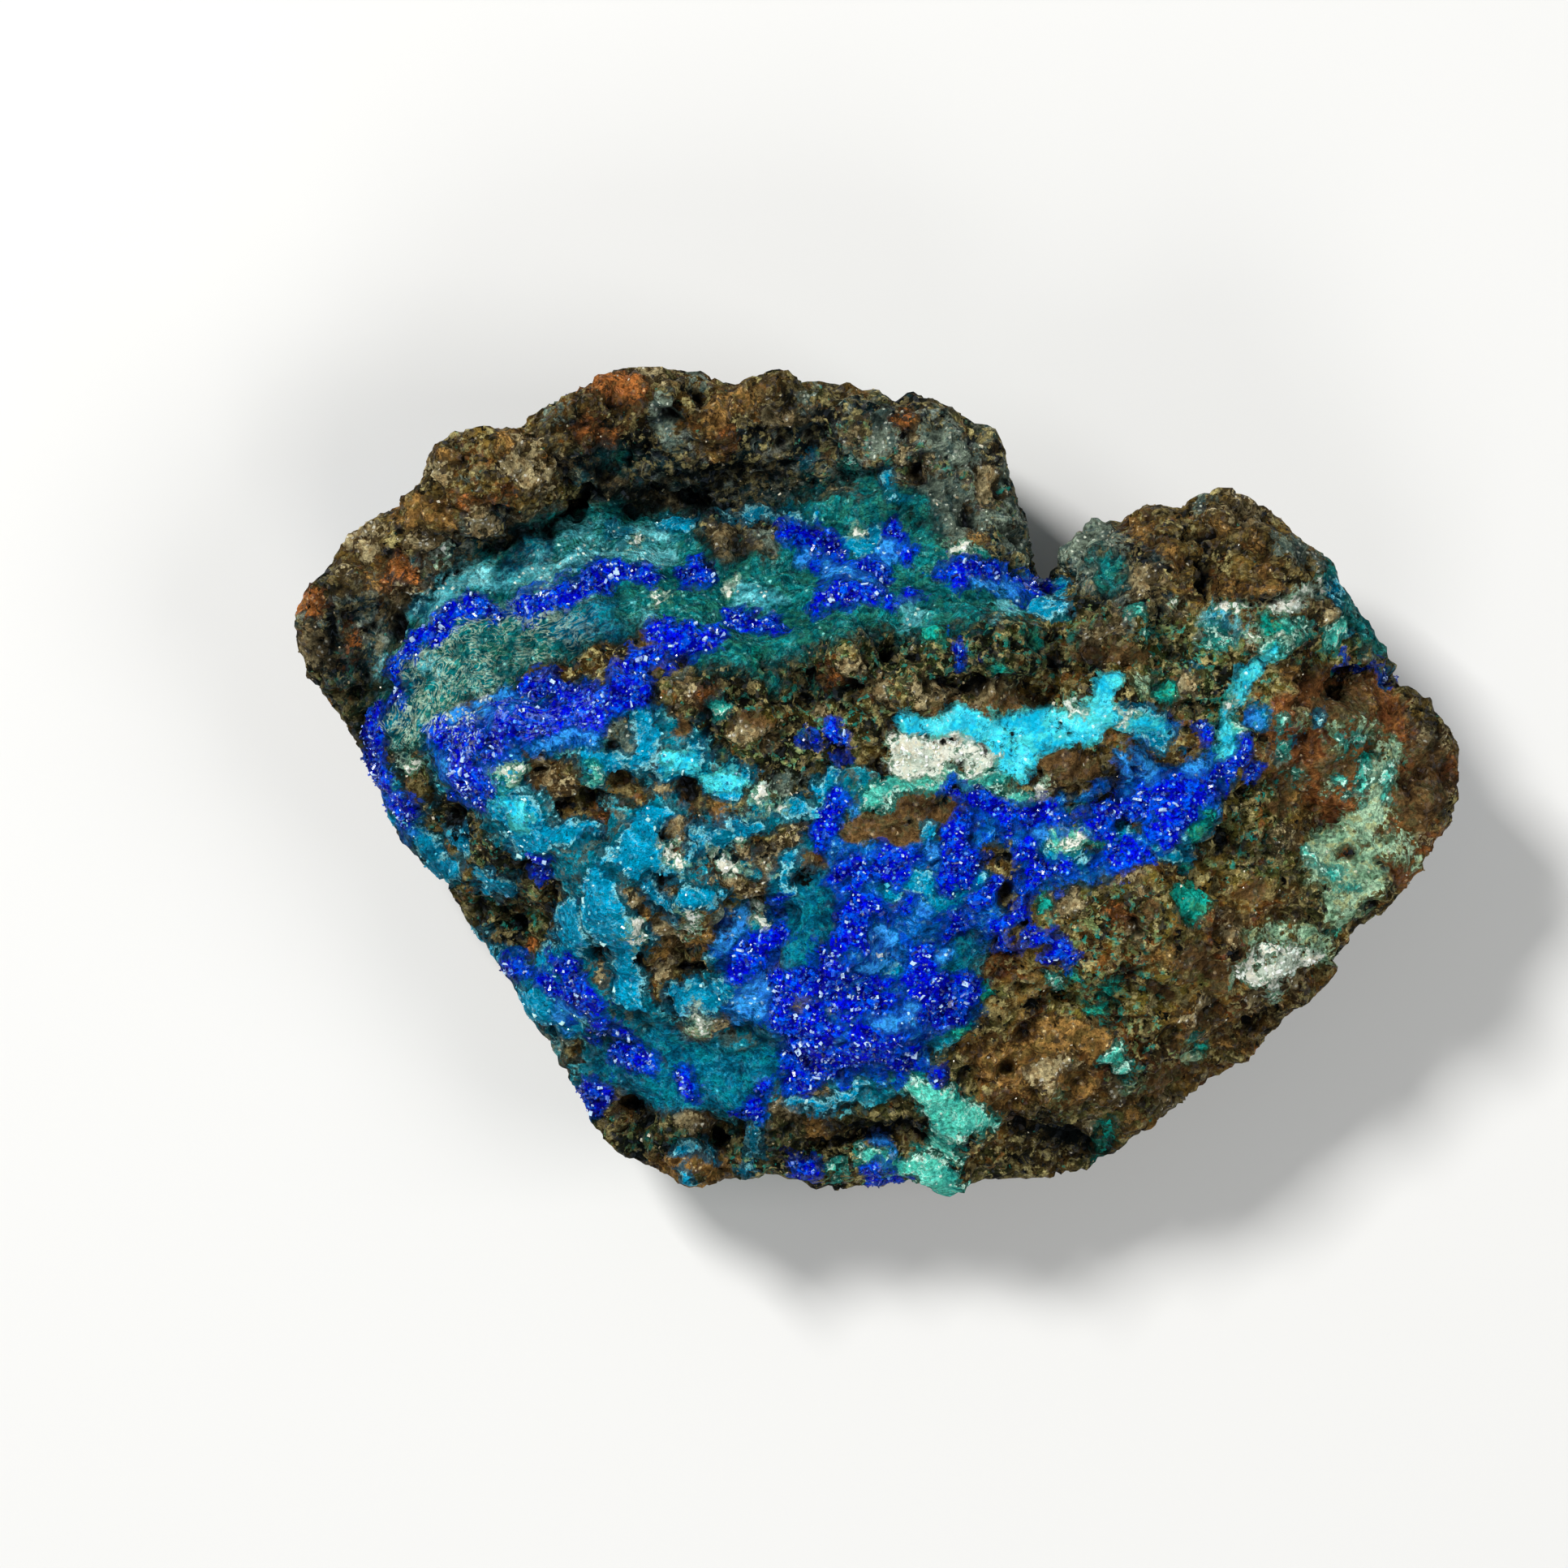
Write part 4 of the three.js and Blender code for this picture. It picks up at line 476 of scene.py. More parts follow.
# Black cracks, and painted shade in pits and shaded crevices
DARK = [
    [(-25.2, 8, 0.05), (-24.7, 9.8, 0.05), (-21.5, 11.7, 0.08), (-16.5, 14.2, 0.2),
     (-15.5, 15.2, 0.45)], [(-9.2, 16.6, 0.25), (-6, 16.8, 0.1)],
    [(-17.2, 17.6, 0.15), (-16.2, 16, 0.35)], [(-13, 17.2, 0.2)], [(-27.2, 8.2, 0.3)],
    [(18.3, -2.4, 0.4), (18, -3.4, 0.35)], [(-8, -18.5, 0.5)], [(-14.3, -8.4, 0.3)],
    [(-12.5, -17.2, 0.45)], [(-3.5, 5.7, 0.4)], [(-2, 5, 0.4)], [(-1.5, 4.3, 0.3)],
    [(0.8, 7, 0.45)], [(3.5, 5.3, 0.4), (4.8, 5.2, 0.4)], [(7.8, 5.4, 0.4)],
    [(9.5, 6.3, 0.4), (10.2, 6.5, 0.35)], [(12, 6.3, 0.3)], [(9.3, 7.7, 0.35)],
    [(10.5, 8.9, 0.3)], [(4.5, 1, 0.14)], [(3.4, -0.9, 0.08), (4.3, -0.1, 0.08)],
    [(1.9, -1.3, 0.08), (1.9, -1.9, 0.08)], [(-16.3, -1.1, 0.4)],
    [(-3, -18.8, 0.35), (1.8, -17.9, 0.35), (2.6, -18.6, 0.3)],
    [(-22.4, -1.2, 0.3), (-21.4, -2.6, 0.3)], [(-19.4, -6.6, 0.4), (-18.2, -7.6, 0.3)],
    [(-16.9, -5.4, 0.4)], [(-5.6, 16, 0.2)], [(-21, -6.4, 0.2)],
    [(11, -1.2, 0.18), (12, -0.6, 0.2)], [(6.4, -3.6, 0.3)], [(-11.6, 4.6, 0.35)],
    [(-7.6, 4.6, 0.3)], [(5.8, 7.4, 0.35)], [(2.2, 6.6, 0.35)], [(-5, 4.4, 0.3)],
    [(6.4, 5.8, 0.3)], [(-6, 6.2, 0.2)], [(-3.9, -4.6, 0.25), (-3.2, -4.7, 0.25)],
    [(-12.2, -9, 0.25), (-11.8, -9.3, 0.25)], [(-10.4, -9.4, 0.3), (-9, -9.3, 0.25)],
    [(-9.9, 0.3, 0.3), (-9.7, -0.6, 0.25)], [(-11.2, -2.6, 0.15)], [(-11.3, -4.9, 0.2)],
    [(-6.4, -3.3, 0.15), (-5.6, -3.4, 0.12)], [(-28.6, 9, 0.2), (-28.6, 7.6, 0.25)],
    [(-26.6, 8.2, 0.2)], [(-24.9, 13.2, 0.2)], [(-25.8, 12, 0.12)],
    [(-10.6, 21, 0.1), (-10, 20.5, 0.12)], [(-9.5, 13.8, 0.15), (-8.7, 11.6, 0.15)],
    [(-9.2, 14.7, 0.35), (-7.6, 14.6, 0.35)], [(1.5, 18.5, 0.15)], [(7.5, -13.2, 0.4)],
    [(8.2, -11.4, 0.25), (9.6, -11, 0.2)], [(17.8, -8, 0.25), (18.4, -8.6, 0.2)],
    [(16, -8.4, 0.2)], [(13.7, -13.6, 0.06), (14.4, -14.5, 0.08)],
    [(20.4, -11.9, 0.15), (19.2, -12.6, 0.1)], [(24.6, 5.4, 0.15), (23.9, 4.9, 0.3)],
    [(22.4, 7.2, 0.2)], [(16.2, 6.9, 0.15)], [(20.5, 2.4, 0.15)], [(19.6, 2.7, 0.12)],
    [(25.6, 7.8, 0.1)], [(15.4, 2.6, 0.1)], [(16.6, 2.8, 0.3)], [(29.4, 1, 0.1)],
    [(24.9, -3.5, 0.2)], [(26.7, -4.6, 0.12)],
    [(-16.5, 14.2, 0.15), (-15.5, 15.2, 0.35), (-13.5, 15.4, 0.12), (-11, 15.5, 0.1),
     (-9.3, 15.2, 0.3), (-7, 15.4, 0.1)], [(17.15, 12.3, 0.15), (17.1, 9.7, 0.22)],
    [(14.7, 9.5, 0.15), (14.8, 8.2, 0.2)],
    [(18.3, 9.7, 0.02), (20.4, 9.6, 0.06), (22.4, 9.9, 0.02)], [(18.1, 3, 0.1)],
    [(7.4, -17.7, 0.3), (10.8, -18.5, 0.5)], [(2.6, 2.6, 0), (4.2, 2.3, 0.04)],
    [(6.5, 3.9, 0), (7.2, 2.6, 0.03), (7, 1.6, 0)], [(9.6, 3.6, 0), (10.2, 2.6, 0.02)],
    [(5.6, 2, 0), (6, 1, 0.03)], [(-16.4, 14.2, 0), (-12.2, 13.6, 0.02)],
    [(3.2, 5.4, 0.05), (4.3, 5.2, 0.05)], [(10.2, 6.4, 0.1), (11.4, 6, 0.15)],
    [(5.8, 7.2, 0.05), (6.5, 6.9, 0.05)], [(8.9, 6.5, 0), (9.3, 5.8, 0)],
    [(0.6, 7.4, 0), (0.7, 5.9, 0)], [(2.3, 8, 0.05)], [(7.4, 8.2, 0), (8.4, 7.9, 0)],
]

# Blue and green crust that covers the left and middle, under the brighter patches
CRUST_AREAS = [
    [(-23.2, 3.2), (-20, 3), (-16, 3.4), (-12, 4.4), (-9.2, 2.4), (-8.4, 1.2), (-6.2, 0.8),
     (-5, -0.4), (-2.6, 0.7), (0, 0.6), (-0.6, -1), (-2.2, -2.4), (-2, -5.4), (2.4, -5),
     (5.6, -5.4), (6, -7), (5, -12.6), (3, -14.2), (2.4, -15.8), (-2.2, -17.2), (-5, -17.8),
     (-12, -17), (-15.4, -17.6), (-16, -14.8), (-20.6, -8.8), (-17.4, -9.2), (-16.4, -8.2),
     (-16.2, -5.4), (-18, -3.8), (-20.4, -2.4), (-22.6, -3.6), (-24.6, -3.4), (-26, -1.4),
     (-25.6, 0.6), (-23.8, 1)],
]
# Mixed medium blue and teal between the azurite knots
BLUE_AREAS = [
    [(-3, -0.6), (-1.5, -0.8), (-2, -2.2), (-0.8, -3.7), (2.5, -2.9), (3.8, -2.3), (4.9, -1.3),
     (6.5, -0.7), (9, -1), (12, -0.6), (14, 0.8), (16.5, 1), (18.5, 2.2), (19.5, 1.6), (17, -1.8),
     (15.4, -3.2), (12.6, -4.6), (9.6, -5.4), (6.4, -7.8), (5.2, -9.6), (5.4, -11.8), (3.4, -13),
     (2.6, -15), (-5.2, -16.2), (-5.6, -12.6), (-8, -12.4), (-8.6, -10.6), (-7.6, -9),
     (-5.6, -7.2), (-5.2, -4.8), (-3.4, -3.6), (-3.6, -2)],
    [(-24, 2.4), (-22, 4.4), (-19, 4.4), (-12, 5.6), (-11.6, 4), (-15, 2.4), (-19, 1),
     (-21, -0.8)],
]
# Brown rock that shows through the crust
BROWN = [
    [(-17.6, 0.7, 1.1), (-16.4, 0.3, 1.2), (-15.5, -0.5, 1.1)],
    [(-14.3, 0.3, 0.9), (-13.1, -0.2, 1)], [(-16, -1.4, 0.8), (-14.8, -1.4, 0.8)],
    [(-6.6, 3.2, 1.2), (-7, 2, 1.1), (-5.5, 1.8, 1.3), (-4.2, 2.2, 1.3)],
    [(-5.5, 0.3, 1.2), (-3.6, 0.9, 0.9)], [(-13.4, 2.3, 1.1)],
    [(-11.6, -10.4, 0.8), (-11, -11.4, 0.8)],
    [(-22.6, -1.6, 1.2), (-21.2, -3.2, 1.4), (-19.5, -4.8, 1.4), (-18, -6.2, 1.7)],
    [(-19.2, -7.2, 1.3), (-17.6, -7.6, 1.1)], [(-16.2, -13.4, 1)],
    [(6.2, -3.6, 0.9), (6.6, -4.8, 0.9)], [(10.6, -1, 0.8), (11.6, -3.2, 0.7)],
    [(3.2, -8.8, 0.6)], [(-13, -17, 1.1), (-9.5, -17.8, 0.9)], [(13.6, -2.2, 0.9)],
    [(-4.4, -17.2, 1.1), (-2, -17.6, 0.9)], [(-24.4, 0.8, 0.9), (-23.6, -0.6, 0.9)],
    [(-20.6, 1.2, 0.6)], [(-12.2, 3, 0.6)], [(9, -6.4, 0.9), (7.2, -6.2, 0.7)],
    [(-10, 0.2, 0.7), (-9.6, -1.6, 0.7)], [(-8.4, -1, 0.7), (-7.6, -1.2, 0.8), (-8, -1.8, 0.6)],
    [(-6.8, -0.6, 0.5)], [(-5.5, 0, 0.8), (-4.2, 0, 0.8), (-3.2, -0.4, 0.6)],
    [(-10.8, -2.4, 0.6), (-10.2, -2.9, 0.8), (-10.4, -3.6, 0.5)],
    [(-3.9, -2.3, 0.6), (-5.8, -3.2, 0.5)], [(-7, -3.6, 0.6)], [(-8.4, -4.4, 0.5)],
    [(-7.4, -5, 0.7), (-6.4, -5.6, 0.9), (-7, -6.2, 0.7)], [(-11, -5, 0.6), (-10.4, -5.3, 0.6)],
    [(-12.6, -5.8, 0.6), (-12, -6.8, 0.8)],
    [(-10.8, -7.4, 0.8), (-9.4, -7.4, 0.9), (-8, -6.8, 0.9), (-7.4, -7.6, 0.8)],
    [(-11.8, -8.6, 0.8), (-10.4, -8.8, 1.1), (-9.1, -9, 0.8)],
    [(-11.8, -10, 0.8), (-10.4, -10.2, 0.8)], [(-3.8, -4, 0.7), (-3, -4, 0.6), (-3.5, -4.6, 0.6)],
    [(-4.2, -6.6, 0.5), (-4, -7.4, 0.4)],
]
# Blue-grey dark rock of the crown
SLATE_AREAS = [
    [(9.8, 11.4), (10.8, 13.6), (13.2, 13.8), (15.4, 12), (15.2, 9), (12, 8.6)],
    [(-17, 16.5), (-13, 18.2), (-9, 18.2), (0, 20.4), (4.2, 19.4), (8.4, 16.6), (9.4, 12),
     (6.4, 11.8), (2.6, 13), (-0.8, 14.8), (-4.6, 14), (-5, 11.6), (-7, 11.2), (-9.4, 12),
     (-9.8, 14.4), (-14, 15)],
    [(-30, 8.6), (-26, 11.4), (-19.6, 15), (-18.6, 13.6), (-24.8, 10.2), (-25.6, 6.2),
     (-28.4, 4.6)],
]

# Warm, pale brown ground of the lower right, and painted shade that dims the crown, the left block,
# the flanks and the right lobe and tip
WARM = [
    [(8, -12, 4.5), (13, -9, 4.5), (18, -8, 4), (13, -15, 4)], [(24, 2, 4), (28, 0, 3)],
    [(18, 11, 4)],
]
# Painted shade: the ground is darkened where these parts fall away from the light
DIM_SHADE = [
    [(-22, -4, 3), (-19, -8, 3), (-14, -17.5, 3)],
    [(18, -14.5, 2.2), (22.5, -11, 1.6), (10, -19, 2)], [(-28, 8, 3)],
    [(-14, 18.5, 3), (-6, 18.5, 4), (3, 17.5, 3)], [(15, 12.6, 1.5), (19, 12, 2), (22, 9.6, 1.2)],
    [(28.4, 3.4, 1.2), (29.2, 0.8, 1.2)],
]
# Deep shade: under the crown, on the left flank and below
SHADE = [
    [(-28.6, 7.4, 1), (-27.6, 6, 1.3), (-26.4, 4.4, 0.8)],
    [(-12.5, -18.4, 0.7), (-7.8, -18.6, 0.9), (-4, -18.8, 0.6), (1, -18, 0.6)],
    [(18.6, -1.8, 0.7), (18.4, -3.2, 0.8), (20.2, -3.6, 0.6)],
    [(22.6, 6.4, 0.5), (24.4, 5.2, 0.5)],
    [(3, 6.9, 0.4), (6, 6.4, 0.4), (9.6, 6.6, 0.5), (12.2, 6.4, 0.4)],
    [(-4, 5.6, 0.5), (-2.4, 5, 0.5)], [(29.8, 1.2, 0.5), (30, -1, 0.5)], [(-9, 4, 0.4)],
    [(-19.6, 12.9, 0.7), (-17.6, 13.3, 0.8), (-16, 14.2, 0.7)], [(6.3, -3.6, 0.4)],
    [(-19.4, 11.7, 0.5), (-17.8, 12.3, 0.5)], [(11.2, 6.6, 0.2), (13.4, 6.5, 0.2)],
    [(9, -18.7, 0.6), (11, -19, 0.8), (13.6, -18.4, 0.4)], [(9.4, -11, 0.3)],
    [(14.2, 1.6, 0.4), (15.6, 1.2, 0.3)], [(-28.4, 6, 0.8), (-27.4, 3.6, 0.9), (-26.2, 1.2, 0.5)],
    [(28.6, 4.4, 0.4), (29.6, 2.2, 0.4)], [(20, 13.4, 0.4), (22.6, 11.4, 0.4)],
    [(10.4, 7.6, 0.2), (12.8, 7.8, 0.2)], [(-19.2, -4.8, 0.5), (-18.2, -7.4, 0.5)],
    [(7.4, 15.8, 0.6), (8, 13, 0.5)], [(-8.3, 12.2, 0.7), (-6.4, 12.6, 0.7)],
    [(-14.4, 15.6, 1), (-12, 15.7, 1.4), (-8, 15.7, 1.6), (-4.6, 15.6, 1.2)],
    [(-24.6, -2.6, 0.3), (-22.6, -5.4, 0.3)],
]


# Each mineral's strokes, areas, gaps, how ragged its edge is in millimetres, and the most
# that its depth counts, so that noise breaks up a wide area
MINERALS = {
    "crust": ((), CRUST_AREAS, BROWN, 0.5, 0.7),
    "blue": ((), BLUE_AREAS, BROWN, 0.5, 0.7),
    "slate": ((), SLATE_AREAS, (), 0.8, 1.5),
    "greenish": ((), GREENISH_AREAS, (), 1.0, 1.5),
    "olive": ((), OLIVE_AREAS, (), 0.8, 1.5),
    "red": ((), RED_AREAS, (), 0.6, 0.9),
    "grey": (GREY, (), (), 0.4, 0.6),
    "ochre": (OCHRE, (), (), 0.45, 0.5),
    "rust": (RUST, (), (), 0.4, 0.5),
    "tan": (TAN, (), (), 0.6, 0.5),
    "chocolate": (CHOCOLATE, CHOCOLATE_AREAS, (), 0.25, 1.5),
    "teal": (TEAL, TEAL_AREAS, (), 0.4, 1.0),
    "hollow": ((), HOLLOW_AREAS, (), 0.25, 1.5),
    "band": (BAND, (), (), 0.4, 0.8),
    "coat": (COAT, COAT_AREAS, COAT_GAPS, 0.35, 0.8),
    "turquoise": (TURQUOISE, (), (), 0.3, 0.6),
    "mint": (MINT, (), (), 0.3, 0.8),
    "vein": (VEIN, (), (), 0.22, 1.0),
    "jade": (JADE, (), (), 0.3, 0.8),
    "pale": (PALE, (), PALE_GAPS, 0.3, 0.8),
    "sky": (SKY, (), (), 0.4, 0.6),
    "azurite": (AZURITE, AZURITE_AREAS, AZURITE_GAPS, 0.46, 0.55),
    # The rows from dark on are no minerals: dark is black cracks with painted shade in pits and
    # crevices, warm is a ground colour, and dim and shade are painted shade
    "dark": (DARK, (), (), 0.15, 1.5),
    "warm": (WARM, (), (), 1.2, 1.5),
    # painted shade that dims the parts falling away from the light
    "dim_shade": (DIM_SHADE, (), (), 1.2, 1.5),
    "shade": (SHADE, (), (), 0.6, 1.0),
}
# The sides and underside: size of each mineral's patches there, their spread and level
UNSEEN = {
    "crust": (13.0, 3.0, -0.9), "blue": (7.0, 2.4, -1.5), "slate": (16.0, 3.0, -0.6),
    "grey": (10.0, 2.2, -0.9), "tan": (4.0, 1.8, -0.9), "rust": (4.0, 2.0, -1.1),
    "greenish": (10.0, 3.0, -0.2), "ochre": (5.0, 2.0, -0.7), "chocolate": (9.0, 2.2, -0.6),
    "teal": (11.0, 2.6, -1.2), "coat": (6.0, 2.0, -1.1), "turquoise": (6.0, 2.2, -1.2),
    "sky": (5.0, 2.0, -1.7), "azurite": (6.0, 2.2, -1.9), "warm": (16.0, 3.0, 0.0),
    # dim gives patches of painted shade on the sides and underside
    "dim_shade": (12.0, 1.5, -0.4), "olive": (12.0, 2.6, -0.9),
}
# The most that a depth counts either way, in millimetres
FIELD_LIMIT = 1.5
# How the strokes' shapes are bent: size of the bends, their reach and the noise's seed
WARPS = ((2.0, 0.35, 31), (0.8, 0.32, 33), (0.45, 0.16, 35))

# Minerals that stand out from the rock as crusts
RAISED = ("azurite", "turquoise", "vein", "coat", "sky", "pale", "mint")
# Angular blocks of the bare rock: their size, seed and height, and the depth and width of the
# clefts round them
CLEFT_BLOCKS = ((2.4, 6, 0.7, 0.18, 0.1), (1.1, 7, 0.4, 0.16, 0.14))
# Round pits in the bare rock: their size, seed, depth and where their numbers start
PIT_SIZE, PIT_SEED, PIT_DEPTH, PIT_FROM = 1.5, 8, 0.6, 0.66
# How deep the dark strokes are cut, and how far the whole skin is lifted or the resting face
# drawn in, in millimetres
DARK_DEPTH = 0.6
SKIN_LIFT = 0.08
REST_INSET = 0.05
# How far the looks keep inside the box of the CAD part, in millimetres
BOX_MARGIN = 0.02
# The farthest that a stroke's distance counts, in millimetres, and a length near nothing
FAR = 9.0
TINY = 1e-9
# What a grain's number is multiplied by to give three more numbers, for its tilt
TILT_SPREAD = (911, 613, 377)
# A face that leans out this far, as the z of its normal, doesn't show from above
HIDDEN_SLOPE = -0.35
# Seed of the first mineral's noise, the step to the next mineral's, and the size of the noise
# that makes edges ragged, in millimetres
FIRST_SEED, SEED_STEP, RAGGED_SIZE = 200, 20, 1.5
# What brings gradient noise to about -1 to 1, and how steep a ridge's sides are
NOISE_GAIN = 1.6
RIDGE_STEEPNESS = 2.6

# The lowest 32 bits of a number
WORD = np.uint64(0xFFFFFFFF)


def lattice(cells, seed, count=3):
    """Numbers from 0 to 1 for each whole-number cell, always the same for one seed."""
    # the large odd numbers only scramble the bits
    x, y, z = (cells[:, axis].astype(np.int64).astype(np.uint64) for axis in range(3))
    mixed = x * np.uint64(0x9E3779B1) + y * np.uint64(0x85EBCA77) + z * np.uint64(0xC2B2AE3D)
    mixed = (mixed + np.uint64(seed * 0x27D4EB2F)) & WORD
    for shift, factor in ((15, 0x2C1B3C6D), (12, 0x297A2D39), (15, 0x1B873593)):
        mixed = ((mixed ^ (mixed >> np.uint64(shift))) * np.uint64(factor)) & WORD
    numbers = []
    for factor in (0x1, 0x9E3779B1, 0x85EBCA77, 0xC2B2AE3D)[:count]:
        other = (mixed * np.uint64(factor)) & WORD
        numbers.append((other ^ (other >> np.uint64(16))) / float(WORD))
    return np.stack(numbers, axis=1)


def noise(points, size, seed):
    """Smooth gradient noise, about -1 to 1, with swells of that size."""
    scaled = points / size
    cell = np.floor(scaled)
    part = scaled - cell
    ease = part * part * part * (part * (part * 6 - 15) + 10)
    total = np.zeros(len(points))
    for corner in np.ndindex(2, 2, 2):
        corner = np.array(corner)
        at = cell + corner
        slope = lattice(at, seed) * 2 - 1
        weight = np.prod(np.where(corner == 1, ease, 1 - ease), axis=1)
        total += weight * np.sum(slope * (part - corner), axis=1)
    return total * NOISE_GAIN


def layered(points, size, seed, layers=4, fade=0.5):
    """Noise with finer and fainter noise on top."""
    return sum(noise(points, size / 2 ** n, seed + n) * fade ** n for n in range(layers))


def ridged(points, size, seed, layers=3):
    """Noise with sharp crests, from about -1 to 1."""
    total = 0
    for n in range(layers):
        crest = 1 - RIDGE_STEEPNESS * np.abs(noise(points, size / 2 ** n, seed + n))
        total = total + crest * 0.5 ** n
    return total / sum(0.5 ** n for n in range(layers))


def grains(points, size, seed):
    """Nearest of the scattered grain centres: its distance, the gap to the next one,
    a random number for the grain and the way from its centre, all in grain sizes."""
    scaled = points / size
    cell = np.floor(scaled)
    nearest = np.full(len(points), np.inf)
    second = np.full(len(points), np.inf)
    number = np.zeros(len(points))
    way = np.zeros_like(points)
    for step in np.ndindex(3, 3, 3):
        at = cell + np.array(step) - 1
        random = lattice(at, seed, 4)
        offset = scaled - (at + random[:, :3])
        distance = np.linalg.norm(offset, axis=1)
        closer = distance < nearest
        second = np.where(closer, nearest, np.minimum(second, distance))
        nearest = np.where(closer, distance, nearest)
        number = np.where(closer, random[:, 3], number)
        way = np.where(closer[:, None], offset, way)
    return nearest, second - nearest, number, way


def smoothstep(low, high, value):
    t = np.clip((value - low) / (high - low), 0, 1)
    return t * t * (3 - 2 * t)


def chains_depth(plan, chains):
    """How far inside the nearest chain each plan point is, below zero outside."""
    depth = np.full(len(plan), -FAR)
    for chain in chains:
        for start, end in zip(chain, chain[1:] or chain):
            start, end = np.array(start), np.array(end)
            run = end[:2] - start[:2]
            length = max(run @ run, TINY)
            along = np.clip((plan - start[:2]) @ run / length, 0, 1)
            away = np.linalg.norm(plan - start[:2] - along[:, None] * run, axis=1)
            depth = np.maximum(depth, start[2] + along * (end[2] - start[2]) - away)
    return depth


def area_depth(plan, outline):
    """How far inside a closed outline each plan point is, below zero outside."""
    corners = np.array(outline)
    away = np.full(len(plan), FAR)
    inside = np.zeros(len(plan), bool)
    for start, end in zip(corners, np.roll(corners, -1, axis=0)):
        run = end - start
        along = np.clip((plan - start) @ run / (run @ run), 0, 1)
        away = np.minimum(away, np.linalg.norm(plan - start - along[:, None] * run, axis=1))
        spans = (start[1] > plan[:, 1]) != (end[1] > plan[:, 1])
        rise = end[1] - start[1] or TINY
        crossing = plan[:, 0] < run[0] * (plan[:, 1] - start[1]) / rise + start[0]
        inside ^= spans & crossing
    return np.where(inside, away, -away)


def mineral_depth(plan, chains, areas, gaps):
    """Depth inside a mineral's chains and areas, less its gaps."""
    depth = chains_depth(plan, chains)
    for outline in areas:
        depth = np.maximum(depth, area_depth(plan, outline))
    if gaps:
        depth = np.minimum(depth, -chains_depth(plan, gaps))
    return depth


def shelf_place(plan):
    """How far along the shelf's line each plan point is, and how far to its left."""
    line = np.array(SHELF_LINE)
    best = np.full(len(plan), np.inf)
    along = np.zeros(len(plan))
    across = np.zeros(len(plan))
    passed = 0.0
    for start, end in zip(line, line[1:]):
        run = end - start
        length = np.linalg.norm(run)
        part = np.clip((plan - start) @ run / length ** 2, 0, 1)
        offset = plan - start - part[:, None] * run
        away = np.linalg.norm(offset, axis=1)
        side = np.sign(run[0] * offset[:, 1] - run[1] * offset[:, 0])
        nearer = away < best
        best = np.where(nearer, away, best)
        along = np.where(nearer, passed + part * length, along)
        across = np.where(nearer, side * away, across)
        passed += length
    return along, across


def seen_plan(points):
    """Plan position of each point as the camera above sees it: a high point is nearer the
    camera, so it shows a little further out than it lies."""
    centre = np.array(VIEW_CENTRE)
    nearer = CAMERA_RISE / (CAMERA_RISE - (points[:, 2] - OUTLINE_LEVEL))
    return centre + (points[:, :2] - centre) * nearer[:, None]


def read_mesh(obj):
    """Vertex positions in millimetres and vertex normals."""
    count = len(obj.data.vertices)
    points = np.empty(count * 3)
    obj.data.vertices.foreach_get("co", points)
    normals = np.empty(count * 3)
    obj.data.vertices.foreach_get("normal", normals)
    return points.reshape(-1, 3) / MM, normals.reshape(-1, 3)


def write_mesh(obj, points):
    obj.data.vertices.foreach_set("co", (points * MM).ravel())
    obj.data.update()


def inside_cad_box(points):
    low = np.array(CAD_LOW) / MM + BOX_MARGIN
    high = np.array(CAD_HIGH) / MM - BOX_MARGIN
    return np.clip(points, low, high)


def apply_modifiers(obj):
    depsgraph = bpy.context.evaluated_depsgraph_get()
    evaluated = obj.evaluated_get(depsgraph)
    mesh = bpy.data.meshes.new_from_object(evaluated)
    obj.modifiers.clear()
    old = obj.data
    obj.data = mesh
    bpy.data.meshes.remove(old)


def add_mesh(name, points, faces):
    mesh = bpy.data.meshes.new(name)
    mesh.from_pydata((points * MM).tolist(), [], faces.tolist())
    mesh.validate()
    obj = bpy.data.objects.new(name, mesh)
    bpy.context.scene.collection.objects.link(obj)
    return obj


def add_field(obj, name, values):
    attribute = obj.data.attributes.new(name, "FLOAT", "POINT")
    attribute.data.foreach_set("value", values.astype(np.float32))


def copy_of_stone():
    """The CAD stone's mesh, joined at its edges and evened out to small faces."""
    obj = bpy.data.objects.new("rock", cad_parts["specimen"].data.copy())
    bpy.context.scene.collection.objects.link(obj)
    weld = obj.modifiers.new("weld", "WELD")
    weld.merge_threshold = 0.001 * MM
    remesh = obj.modifiers.new("remesh", "REMESH")
    remesh.mode = "VOXEL"
    remesh.voxel_size = MESH_SIZE * MM
    smooth = obj.modifiers.new("smooth", "SMOOTH")
    smooth.iterations = SMOOTH_ROUNDS
    apply_modifiers(obj)
    obj.data.materials.clear()
    return obj


def mineral_fields(points, normals):
    """Depth of each point inside each mineral, in millimetres, as seen from above. What the
    picture doesn't show, the sides and underside, gets patches by noise."""
    plan = seen_plan(points)
    for size, reach, seed in WARPS:
        plan = plan + reach * np.stack([noise(points, size, seed), noise(points, size, seed + 1)],
                                       axis=1)
    hidden = smoothstep(0.0, HIDDEN_SLOPE, normals[:, 2] + 0.1 * noise(points, 4.0, 40))
    fields = {}
    for order, (name, (chains, areas, gaps, ragged, most)) in enumerate(MINERALS.items()):
        seed = FIRST_SEED + SEED_STEP * order
        depth = np.minimum(mineral_depth(plan, chains, areas, gaps), most)
        depth = depth + ragged * layered(points, RAGGED_SIZE, seed, layers=3, fade=0.7)
        other = np.full(len(points), -FIELD_LIMIT)
        if name in UNSEEN:
            size, spread, level = UNSEEN[name]
            other = spread * layered(points, size, seed + 10, layers=5, fade=0.6) + level
        fields[name] = np.clip(depth * (1 - hidden) + other * hidden, -FIELD_LIMIT, FIELD_LIMIT)
    return fields


